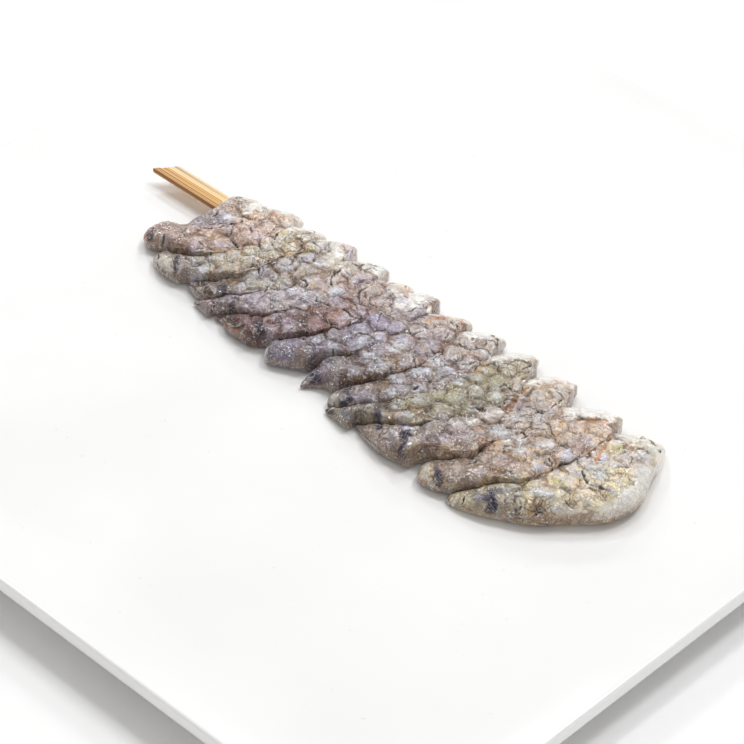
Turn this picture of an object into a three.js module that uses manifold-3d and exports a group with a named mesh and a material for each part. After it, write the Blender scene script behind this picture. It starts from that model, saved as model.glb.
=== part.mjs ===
// A square white dish that carries one flat bamboo skewer of thirteen raw, peeled tiger prawns.
// Millimetres, +Z up. The origin is the middle of the dish's foot, at table height.
// The skewer runs along X with its bare handle at -X. The prawns lie side by side across it,
// with their head ends at +Y and their tails at -Y.

import * as THREE from 'three';
import { mergeVertices } from 'three/addons/utils/BufferGeometryUtils.js';
import Module from 'manifold-3d';

const wasm = await Module();
wasm.setup();

// Dish
const DISH_SIDE = 260;
const DISH_CORNER = 7;
const RIM_TOP = 12;
const RIM_BAND = 4;
const LIP_ROUND = 0.9;
const FLOOR_TOP = 9;
const SLOPE_WIDTH = 22;
const FLOOR_THICK = 5;
const FOOT_SIDE = 158;
const FOOT_WIDTH = 5;
const CORNER_STEPS = 4;

// Bamboo stick: a flat strip with a slanting handle end
const STICK_START = -89.3;
const STICK_END = 84;
const STICK_SLANT = 4.6;
const STICK_MIDDLE_Y = 6.3;
const STICK_WIDTH = 6;
const STICK_THICK = 2;
const STICK_TOP = 14;
const STICK_PIVOT_X = -76;         // the strip is turned slightly about the middle of its handle
const STICK_YAW = -1.1 * (Math.PI / 180);
const STICK_BEVEL = 0.25;

// Gaps between pieces that touch
const GAP = 0.3;

// Prawns
const REST = FLOOR_TOP + GAP;      // underside of every prawn
const FAN_HEIGHT = 4;              // thin pale fan at the head end
const FAN_LEFT = 7.5;              // length of the fan on the left of a prawn
const FAN_RIGHT = 3.5;             // and on its right, where the body runs further forward
const FAN_FADE = 3;
const SQUEEZE = 1.18;              // how far a body spreads past its own width where it lies free
const CLOSE_UP = 1.36;             // and how far it spreads to meet a neighbour that lies near
const CREST_FREE = 2.6;            // how flat the back is towards a free side
const CREST_PRESSED = 6;           // and towards a neighbour
const SHOULDER_FREE = 0.45;        // height of the back's edge, as a share of the back
const SHOULDER_PRESSED = 0.9;
const PRESS_START = 1;             // a body isn't pressed nearer to its two ends than this,
const PRESS_FULL = 9;              // and is pressed fully from this length on
const LOW_EDGE_FREE = 0.36;        // how far the underside rises to its edge, as a share of the back
const LOW_EDGE_PRESSED = 0.2;
const UNDER_CREST = 6;             // how flat the underside is
const THIN_TIP = 0.45;             // height of the very tips, as a share of the back
const HEAD_TAPER = 4;              // length over which the head end rounds off
const TIP_LEVEL = 1.4;             // height of the two end points over the underside
const LUMP_PITCH = 5.2;            // muscle lumps along a body
const LUMP_RADIUS = 3.3;
const LUMP_HEIGHT = 1.5;
const LUMP_START = 7;
const LUMP_STRAY = 2;              // how far a lump strays along the body
const WIDE_BODY = 5.9;             // bodies with a larger half width have three lumps across, not two
const PAIR_SPACING = 1.02;         // in half widths
const TRIO_SPACING = 0.66;
const SMOOTH_TAIL = 13;            // the last segment has no lumps
const RINGS = 29;
const TOP_STEPS = 9;
const UNDER_STEPS = 4;
const SPINE_SAMPLES = 120;

// Every prawn: plan points of its middle line from head end to tail tip (head, over the stick,
// bend, hip, tail band, tip), half its width there, its height there, and how long its tip tapers.
const PRAWNS = [
  {
    places: [[-57.6, 16], [-58.2, 7.5], [-59.4, 1], [-61.4, -3.2], [-63.8, -5], [-66.2, -6]],
    half: [3.3, 5, 6, 4.8, 3.6, 2.5],
    high: [3.2, 6, 6.5, 6, 5, 3.6],
    taper: 3,
    colour: 0xb3a7a3,
  },
  {
    places: [[-50.2, 18.6], [-47.8, 7], [-48, -3], [-54.5, -10.8], [-62.8, -13], [-72, -13.4]],
    half: [4.3, 5.3, 5.5, 5.7, 5.2, 4.2],
    high: [2.8, 7.4, 7.6, 7, 6, 4.6],
    taper: 4,
    colour: 0xb39f95,
  },
  {
    places: [[-40.2, 17.6], [-37.2, 6], [-37.2, -5], [-43.5, -15.8], [-53.3, -19.7], [-63, -19.6]],
    half: [3.8, 4.3, 4.2, 4.6, 4, 2.5],
    high: [2.8, 7.4, 7.5, 6.8, 5.2, 3.4],
    taper: 5,
    colour: 0xaba093,
  },
  {
    places: [[-32.2, 18.3], [-26.6, 7], [-26.1, -3], [-30.5, -13.8], [-38.3, -20.2], [-48, -21.7]],
    half: [4, 5.6, 5.2, 3.8, 3.4, 2],
    high: [2.8, 7.4, 7.6, 6.8, 5, 2.8],
    taper: 6,
    colour: 0xa49a93,
  },
  {
    places: [[-19.6, 18.1], [-14.4, 6], [-14.9, -4.5], [-21, -16], [-28.8, -22.9], [-41.3, -26]],
    half: [4.4, 4.8, 5.3, 5, 4, 1.3],
    high: [2.8, 7.4, 7.6, 7, 5.6, 2.4],
    taper: 8,
    colour: 0xa09599,
  },
  {
    places: [[-7.2, 17.2], [-4.5, 6], [-5, -5.5], [-10.5, -17.6], [-18.5, -24.2], [-33.3, -26]],
    half: [3.8, 5, 5.3, 4.5, 3.4, 1.7],
    high: [2.8, 7.4, 7.6, 7, 5.4, 2.6],
    taper: 8,
    colour: 0x8f7f7c,
  },
  {
    places: [[-1.2, 17.9], [5, 6], [6.8, -5.5], [1.8, -16.6], [-5.2, -23.2], [-12.8, -28]],
    half: [3.8, 5.4, 5, 4.4, 4, 3.4],
    high: [2.8, 7.4, 7.6, 7, 6, 4.8],
    taper: 3,
    colour: 0x968a90,
  },
  {
    places: [[11.8, 16.7], [16.6, 6], [17.9, -5.5], [13, -17.8], [5.5, -24.4], [2.5, -30.4]],
    half: [4.2, 4.9, 5.6, 5.7, 4.2, 1.2],
    high: [2.8, 7.4, 7.8, 7.4, 6, 2.8],
    taper: 6,
    colour: 0x998c89,
  },
  {
    places: [[22.4, 17.6], [27.6, 6], [29.3, -6], [25, -18.3], [17.8, -26.6], [11.8, -30]],
    half: [4.4, 5.5, 5.8, 4.5, 4.2, 3],
    high: [2.8, 7.4, 7.6, 7, 5.6, 4],
    taper: 4,
    colour: 0xa0948c,
  },
  {
    places: [[32.2, 16.6], [40, 6], [42, -6.5], [35.5, -20.6], [27.4, -28], [13.6, -32.6]],
    half: [4.8, 6.3, 6.6, 5.6, 4.5, 1.8],
    high: [2.8, 7.4, 8, 7.4, 5.8, 2.6],
    taper: 8,
    colour: 0x9a8f80,
  },
  {
    places: [[45, 15.7], [52, 5], [54.6, -6.5], [49, -21.2], [40.2, -29.6], [23.2, -31.8]],
    half: [5, 6.3, 5.7, 5.8, 4.3, 1.6],
    high: [2.8, 7.4, 7.8, 7.6, 6, 2.4],
    taper: 8,
    colour: 0xa99b92,
  },
  {
    places: [[61, 13.9], [66.4, 4], [68.3, -8], [62, -23.8], [53.2, -31.2], [46.3, -32.6]],
    half: [5.4, 7, 7.5, 6.2, 4.4, 3.5],
    high: [2.8, 7.4, 8, 7.6, 6, 4.4],
    taper: 4,
    colour: 0xb1a092,
  },
  {
    places: [[77.8, 15], [81.2, 4], [83.6, -10.5], [76, -23.8], [67, -30.4], [57.8, -35.8]],
    half: [4.6, 6.3, 8.2, 5.4, 3.9, 2],
    high: [2.8, 7.2, 7.6, 7.2, 5.6, 2.8],
    taper: 5,
    colour: 0xb4a898,
  },
];

function mix(a, b, t) {
  return a + (b - a) * t;
}

function smoothstep(from, to, x) {
  const t = Math.min(1, Math.max(0, (x - from) / (to - from)));
  return t * t * (3 - 2 * t);
}

// A repeatable draw between 0 and 1 for a pair of whole numbers
function draw(a, b) {
  const wave = Math.sin(a * 12.9898 + b * 78.233) * 43758.5453;
  return wave - Math.floor(wave);
}

// Value between the stations of a list, for t from 0 to 1
function along(list, t) {
  const place = t * (list.length - 1);
  const left = Math.min(list.length - 2, Math.floor(place));
  return mix(list[left], list[left + 1], smoothstep(0, 1, place - left));
}

// Closed surface through rings of equal length, drawn to a point at each end
function loft(rings, firstPole, lastPole) {
  const count = rings[0].length;
  const points = [firstPole, ...rings.flat(), lastPole];
  const triangles = [];
  const at = (ring, step) => 1 + ring * count + (step % count);
  for (let step = 0; step < count; step += 1) {
    triangles.push(0, at(0, step + 1), at(0, step));
    triangles.push(points.length - 1, at(rings.length - 1, step), at(rings.length - 1, step + 1));
  }
  for (let ring = 0; ring + 1 < rings.length; ring += 1) {
    for (let step = 0; step < count; step += 1) {
      const [a, b] = [at(ring, step), at(ring, step + 1)];
      const [c, d] = [at(ring + 1, step), at(ring + 1, step + 1)];
      if (points[a].distanceTo(points[d]) < points[b].distanceTo(points[c])) {
        triangles.push(a, b, d, a, d, c);
      } else {
        triangles.push(a, b, c, b, d, c);
      }
    }
  }
  const geometry = new THREE.BufferGeometry();
  geometry.setAttribute('position', new THREE.Float32BufferAttribute(points.flatMap((p) => [p.x, p.y, p.z]), 3));
  geometry.setIndex(triangles);
  return geometry;
}

// Corners and edges of a square with round corners, all at one height
function squareRing(halfSide, cornerRadius, z) {
  const ring = [];
  for (let corner = 0; corner < 4; corner += 1) {
    const middle = (corner + 0.5) * (Math.PI / 2);
    const reach = (halfSide - cornerRadius) * Math.SQRT2;
    for (let step = 0; step <= CORNER_STEPS; step += 1) {
      const angle = corner * (Math.PI / 2) + (step / CORNER_STEPS) * (Math.PI / 2);
      ring.push(new THREE.Vector3(
        Math.cos(middle) * reach + Math.cos(angle) * cornerRadius,
        Math.sin(middle) * reach + Math.sin(angle) * cornerRadius,
        z,
      ));
    }
  }
  return ring;
}

// The dish's section as [distance in from the side, height], from under its middle to its floor
function dishSection() {
  const footOuter = (DISH_SIDE - FOOT_SIDE) / 2;
  const footInner = footOuter + FOOT_WIDTH;
  const underside = FLOOR_TOP - FLOOR_THICK;
  const bandFoot = RIM_TOP - RIM_BAND;
  return [
    [footInner + 2, underside],
    [footInner, underside - 0.6],
    [footInner - 0.4, 0],
    [footOuter + 0.4, 0],
    [footOuter, underside - 0.6],
    [footOuter - 2, underside],
    [LIP_ROUND * 2, bandFoot - 0.2],
    [LIP_ROUND * 0.4, bandFoot + LIP_ROUND * 0.2],
    [0, bandFoot + LIP_ROUND],
    [0, RIM_TOP - LIP_ROUND],
    [LIP_ROUND * 0.4, RIM_TOP - LIP_ROUND * 0.25],
    [LIP_ROUND * 1.3, RIM_TOP],
    [LIP_ROUND * 2.6, RIM_TOP - 0.25],
    [SLOPE_WIDTH * 0.35, mix(FLOOR_TOP, RIM_TOP, 0.46)],
    [SLOPE_WIDTH * 0.65, mix(FLOOR_TOP, RIM_TOP, 0.12)],
    [SLOPE_WIDTH, FLOOR_TOP],
  ];
}

function dishGeometry() {
  const rings = dishSection().map(([inset, z]) => {
    const radius = Math.max(2.5, DISH_CORNER - inset * 0.1);
    return squareRing(DISH_SIDE / 2 - inset, radius, z);
  });
  return loft(
    rings,
    new THREE.Vector3(0, 0, FLOOR_TOP - FLOOR_THICK),
    new THREE.Vector3(0, 0, FLOOR_TOP),
  );
}

// The strip seen from above, with its handle end cut on the slant, drawn out downwards
function stickGeometry(spare) {
  const near = STICK_MIDDLE_Y - STICK_WIDTH / 2 - spare;
  const far = STICK_MIDDLE_Y + STICK_WIDTH / 2 + spare;
  const bevel = spare > 0 ? 0 : STICK_BEVEL;
  const outline = new THREE.Shape([
    new THREE.Vector2(STICK_START + bevel - spare, near + bevel),
    new THREE.Vector2(STICK_END - bevel + spare, near + bevel),
    new THREE.Vector2(STICK_END - bevel + spare, far - bevel),
    new THREE.Vector2(STICK_START + STICK_SLANT + bevel - spare, far - bevel),
  ]);
  const geometry = new THREE.ExtrudeGeometry(outline, {
    depth: STICK_THICK + 2 * spare - 2 * bevel,
    bevelEnabled: bevel > 0,
    bevelSize: bevel,
    bevelThickness: bevel,
    bevelSegments: 1,
  });
  geometry.translate(-STICK_PIVOT_X, -STICK_MIDDLE_Y, STICK_TOP - STICK_THICK - spare + bevel);
  geometry.rotateZ(STICK_YAW);
  geometry.translate(STICK_PIVOT_X, STICK_MIDDLE_Y, 0);
  return geometry;
}

// Middle line of a prawn with its length and close samples of it
function makeSpine(prawn) {
  const curve = new THREE.SplineCurve(prawn.places.map(([x, y]) => new THREE.Vector2(x, y)));
  const samples = [];
  for (let k = 0; k <= SPINE_SAMPLES; k += 1) {
    const t = k / SPINE_SAMPLES;
    samples.push({ point: curve.getPoint(t), half: along(prawn.half, t) });
  }
  return { ...prawn, curve, samples, length: curve.getLength() };
}

// How far a plan point is from a spine, in half widths of that prawn
function share(spine, point) {
  let least = Infinity;
  for (const { point: sample, half } of spine.samples) {
    least = Math.min(least, sample.distanceTo(point) / half);
  }
  return least;
}

// Reach from the spine to one side: its own width, or as far as a neighbour that lies near
function reachTo(spine, neighbours, point, sideways, half) {
  const own = (distance) => {
    const place = point.clone().addScaledVector(sideways, distance);
    const mine = share(spine, place);
    return Math.min(...neighbours.map((other) => share(other, place))) - mine;
  };
  const widest = half * SQUEEZE;
  const farthest = half * CLOSE_UP;
  const stride = 0.25;
  let clear = 0;
  while (clear < farthest && own(clear + stride) > 0) {
    clear += stride;
  }
  if (clear >= farthest) {
    return { reach: widest, pressed: 0 };
  }
  let [low, high] = [clear, clear + stride];
  for (let k = 0; k < 12; k += 1) {
    const middle = (low + high) / 2;
    if (own(middle) > 0) {
      low = middle;
    } else {
      high = middle;
    }
  }
  const pressed = smoothstep(farthest, widest, low);
  return { reach: mix(widest, low - GAP * 0.6, pressed), pressed };
}

// Lumps of muscle in a body's own places: s along it from the head, c across it
function makeLumps(spine, number) {
  const lumps = [];
  const rows = Math.floor((spine.length - LUMP_START - SMOOTH_TAIL) / LUMP_PITCH);
  for (let row = 0; row <= rows; row += 1) {
    const s = LUMP_START + row * LUMP_PITCH;
    const half = along(spine.half, s / spine.length);
    const across = half > WIDE_BODY ? 3 : 2;
    for (let column = 0; column < across; column += 1) {
      const seed = number * 100 + row * 4 + column;
      const even = across === 2 ? (column - 0.5) * PAIR_SPACING : (column - 1) * TRIO_SPACING;
      lumps.push({
        s: s + (draw(seed, 1) - 0.5) * LUMP_STRAY + (column % 2) * LUMP_PITCH * 0.4,
        c: half * (even + (draw(seed, 2) - 0.5) * 0.24),
        radius: LUMP_RADIUS * mix(0.85, 1.2, draw(seed, 3)),
        height: LUMP_HEIGHT * mix(0.65, 1.15, draw(seed, 4)),
      });
    }
  }
  return lumps;
}

function lumpHeight(lumps, s, c) {
  let height = 0;
  for (const lump of lumps) {
    const distance = Math.hypot(s - lump.s, c - lump.c) / lump.radius;
    if (distance < 1) {
      height = Math.max(height, lump.height * Math.sqrt(1 - distance * distance));
    }
  }
  return height;
}

// Height of the back over the underside before its lumps, with the thin fan at the head end
function backHeight(spine, s, side) {
  const body = along(spine.high, s / spine.length);
  const fan = mix(FAN_LEFT, FAN_RIGHT, (side + 1) / 2);
  return mix(Math.min(body, FAN_HEIGHT), body, smoothstep(fan - FAN_FADE, fan, s));
}

// Roundness of the two ends: 1 along the body, falling to 0 at the tips
function endRound(spine, s) {
  const head = Math.min(1, s / HEAD_TAPER);
  const tail = Math.min(1, (spine.length - s) / spine.taper);
  return Math.sqrt(1 - (1 - head) ** 2) * Math.sqrt(1 - (1 - tail) ** 2);
}

// How far neighbours may press a body flat: hardly at its two ends
function pressing(spine, s) {
  const fromEnd = Math.min(s, spine.length - s);
  return smoothstep(PRESS_START, PRESS_FULL, fromEnd);
}

// One cross-section of a prawn: over the back from left to right, then back under it
function prawnRing(spine, neighbours, lumps, s) {
  const u = s / spine.length;
  const middle = spine.curve.getPointAt(u);
  const forward = spine.curve.getTangentAt(u);
  const sideways = new THREE.Vector2(-forward.y, forward.x);
  const rounding = endRound(spine, s);
  const half = along(spine.half, u) * rounding;
  const left = reachTo(spine, neighbours, middle, sideways.clone().negate(), half);
  const right = reachTo(spine, neighbours, middle, sideways, half);
  const flat = mix(THIN_TIP, 1, rounding);
  const pressable = pressing(spine, s);
  const ring = [];
  const put = (side, z) => {
    const reach = side < 0 ? left.reach : right.reach;
    const place = middle.clone().addScaledVector(sideways, side * reach);
    ring.push(new THREE.Vector3(place.x, place.y, z));
  };
  for (let k = 0; k <= TOP_STEPS; k += 1) {
    const side = -Math.cos((k / TOP_STEPS) * Math.PI);
    const height = backHeight(spine, s, side) * flat;
    const pressed = (side < 0 ? left.pressed : right.pressed) * pressable;
    const shoulder = height * mix(SHOULDER_FREE, SHOULDER_PRESSED, pressed);
    const crown = Math.sqrt(1 - Math.abs(side) ** mix(CREST_FREE, CREST_PRESSED, pressed));
    const reach = side < 0 ? left.reach : right.reach;
    const bump = lumpHeight(lumps, s, side * reach) * crown * rounding;
    put(side, REST + shoulder + (height - shoulder) * crown + bump);
  }
  for (let k = UNDER_STEPS; k >= 0; k -= 1) {
    const side = -Math.cos((k / UNDER_STEPS) * Math.PI);
    const height = backHeight(spine, s, side) * flat;
    const pressed = (side < 0 ? left.pressed : right.pressed) * pressable;
    const edge = height * mix(LOW_EDGE_FREE, LOW_EDGE_PRESSED, pressed);
    put(side, REST + edge * (1 - Math.sqrt(1 - Math.abs(side) ** UNDER_CREST)));
  }
  return ring;
}

function prawnGeometry(spine, neighbours, number) {
  const lumps = makeLumps(spine, number);
  const rings = [];
  for (let k = 1; k <= RINGS; k += 1) {
    const even = k / (RINGS + 1);
    const s = spine.length * mix(even, (1 - Math.cos(even * Math.PI)) / 2, 0.35);
    rings.push(prawnRing(spine, neighbours, lumps, s));
  }
  const pole = (u) => {
    const place = spine.curve.getPointAt(u);
    return new THREE.Vector3(place.x, place.y, REST + TIP_LEVEL);
  };
  return loft(rings.reverse(), pole(1), pole(0));
}

function toSolid(geometry) {
  geometry.deleteAttribute('normal');
  geometry.deleteAttribute('uv');
  const merged = mergeVertices(geometry);
  return new wasm.Manifold(new wasm.Mesh({
    numProp: 3,
    vertProperties: new Float32Array(merged.attributes.position.array),
    triVerts: new Uint32Array(merged.index.array),
  }));
}

function toGeometry(solid) {
  const mesh = solid.getMesh();
  const geometry = new THREE.BufferGeometry();
  geometry.setAttribute('position', new THREE.BufferAttribute(mesh.vertProperties, 3));
  geometry.setIndex(new THREE.BufferAttribute(mesh.triVerts, 1));
  geometry.computeVertexNormals();
  return geometry;
}

function addPart(group, name, geometry, look) {
  const mesh = new THREE.Mesh(geometry, new THREE.MeshStandardMaterial({ metalness: 0, ...look }));
  mesh.name = name;
  group.add(mesh);
}

const dish = new THREE.Group();
addPart(dish, 'dish', dishGeometry(), { color: 0xfafafa, roughness: 0.18 });

const skewer = new THREE.Group();
addPart(skewer, 'bamboo_stick', stickGeometry(0), { color: 0xe3c08a, roughness: 0.6 });

const spines = PRAWNS.map(makeSpine);
const slot = toSolid(stickGeometry(GAP));
spines.forEach((spine, index) => {
  const neighbours = [spines[index - 1], spines[index + 1]].filter(Boolean);
  const body = toSolid(prawnGeometry(spine, neighbours, index + 1));
  const name = `prawn_${String(index + 1).padStart(2, '0')}`;
  addPart(skewer, name, toGeometry(body.subtract(slot)), { color: spine.colour, roughness: 0.35 });
});
dish.add(skewer);

export default dish;
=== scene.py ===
"""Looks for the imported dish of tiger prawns: a square white dish with one flat bamboo skewer.

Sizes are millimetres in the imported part's frame: +X along the skewer away from its bare handle, +Y
towards the prawns' head ends, +Z up. Every piece is made in metres. The colours of the flesh, its
marks and the stick are display values. Those inside the materials and of the lamps are scene-linear.
"""
import math
from types import SimpleNamespace

import bpy
import numpy as np
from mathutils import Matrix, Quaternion, Vector


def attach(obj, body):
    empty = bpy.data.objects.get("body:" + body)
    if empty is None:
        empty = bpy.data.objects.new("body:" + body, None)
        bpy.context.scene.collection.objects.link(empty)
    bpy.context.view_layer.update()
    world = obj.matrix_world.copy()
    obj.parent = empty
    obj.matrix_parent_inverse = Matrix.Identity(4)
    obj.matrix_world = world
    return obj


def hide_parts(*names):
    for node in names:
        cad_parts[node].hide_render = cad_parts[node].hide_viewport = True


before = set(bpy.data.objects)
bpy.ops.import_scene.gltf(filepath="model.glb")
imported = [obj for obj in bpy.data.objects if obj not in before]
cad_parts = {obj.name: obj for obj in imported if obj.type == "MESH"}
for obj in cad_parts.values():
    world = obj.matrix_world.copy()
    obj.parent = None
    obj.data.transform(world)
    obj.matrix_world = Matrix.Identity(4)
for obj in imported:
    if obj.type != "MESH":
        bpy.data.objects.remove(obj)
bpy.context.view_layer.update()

MM = 0.001

# Dish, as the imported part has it
DISH_SIDE = 260
DISH_CORNER = 7
RIM_TOP = 12
RIM_BAND = 4
LIP_ROUND = 0.9
FLOOR_TOP = 9
SLOPE_WIDTH = 22
SLOPE_CURVE = 2.1
FLOOR_THICK = 5
FOOT_SIDE = 158
FOOT_WIDTH = 5
UNDERSIDE = FLOOR_TOP - FLOOR_THICK

# Bamboo stick
STICK_START = -89.3
STICK_END = 84
STICK_SLANT = 4.6
STICK_MIDDLE_Y = 6.3
STICK_WIDTH = 6
STICK_THICK = 2
STICK_BEVEL = 0.3
STICK_TOP = 14
STICK_PIVOT_X = -76
STICK_YAW = math.radians(-1.1)
# Dark lines along it: place across from -1 to 1, half width and strength
STICK_LINES = [
    (0.66, 0.03, 0.35), (0.02, 0.06, 0.95), (-0.2, 0.035, 0.5),
    (-0.42, 0.05, 0.8), (-0.62, 0.05, 0.85), (-0.82, 0.07, 0.9),
]

# Fineness of a prawn's mesh, and of the search for its neighbours
RINGS = 300
TOP_STEPS = 96
UNDER_STEPS = 14
SPINE_SAMPLES = 121
FINE_SAMPLES = 1601
REACH_STEPS = 72

# Seams: how far they wander, and how near a neighbour lies, in half widths, before it presses a body
OVERLAP = 0.12
WANDER = 1.1
WANDER_LENGTH = 3.4
SQUEEZE = 1.18
CLOSE_UP = 1.7
SURELY_CLOSE = 1.4
PRESS_START = 1
PRESS_FULL = 9
ROUND_TAIL = 0.38

# Section of a body where it lies free or pressed: shares of its height, and powers of its curves
REST = FLOOR_TOP + 0.3
FREE_SHOULDER = 0.45
PRESSED_SHOULDER = 0.98
CREST_FREE = 2.6
CREST_PRESSED = 9
LOW_EDGE_FREE = 0.36
LOW_EDGE_PRESSED = 0.2
UNDER_CREST = 6
HEAD_TAPER = 4
THIN_TIP = 0.22

# Thin fan at the head end: its height, its length on both sides and how fast it thickens
FAN_HEIGHT = 4
FAN_LEFT = 7.5
FAN_RIGHT = 3.5
FAN_FADE = 3

# Lumps of muscle, in rows of two, or of three where the half width is above WIDE_BODY
LUMP_START = 7
LUMP_PITCH = 6
LUMP_RADIUS = 3.7
LUMP_HEIGHT = 0.75
LUMP_STRAY = 2
LUMP_STAGGER = 0.4
LUMP_ASIDE = 0.24
WIDE_BODY = 5.9
PAIR_SPACING = 1.02
TRIO_SPACING = 0.66
SMOOTH_TAIL = 13

# Flesh: how far colours and contrast are deepened, how dark the tails are, and its colours
FLESH_SEED = 37
TONE_DEPTH = 1.6
TONE_CONTRAST = 1.2
TAIL_SHADE = 0.2
WARM_TINT = np.array([0.02, 0.01, -0.06])
VIOLET_TINT = np.array([0.97, 0.97, 1.08])
# How much painted shade darkens the flesh between the lumps
HOLLOW_SHADE = np.array([0.2, 0.28, 0.36])
HEAD_CREAM = np.array([0.88, 0.82, 0.74])
# Painted sheen on the lighter middles of the lumps, creamier towards the head
LUMP_SHEEN = np.array([0.72, 0.75, 0.83])
HEAD_LUMP_SHEEN = np.array([0.9, 0.88, 0.85])
# White of the thin fan, also painted as light on the free edges near the head
FAN_AND_LIT_EDGE_WHITE = np.array([0.96, 0.94, 0.9])
# Pale rim painted as a highlight beside lines and cracks
LIP_HIGHLIGHT = np.array([0.86, 0.84, 0.82])
STAIN = np.array([0.8, 0.6, 0.33])
GOLDEN = np.array([0.72, 0.56, 0.38])
FOOT_BROWN = np.array([0.62, 0.5, 0.4])
# Painted shade in the creases and folds
CREASE_SHADE = np.array([0.14, 0.09, 0.07])

# Marks were measured in a slanting view, on a level plane at MARK_LEVEL. A place above that plane
# is looked up this far further back for every millimetre of its height.
MARK_LEVEL = 14
MARK_SHEAR = (-0.867, 0.879)
# Marks thinner than this many millimetres are uneven in strength
THIN_MARK = 1.4

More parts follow.
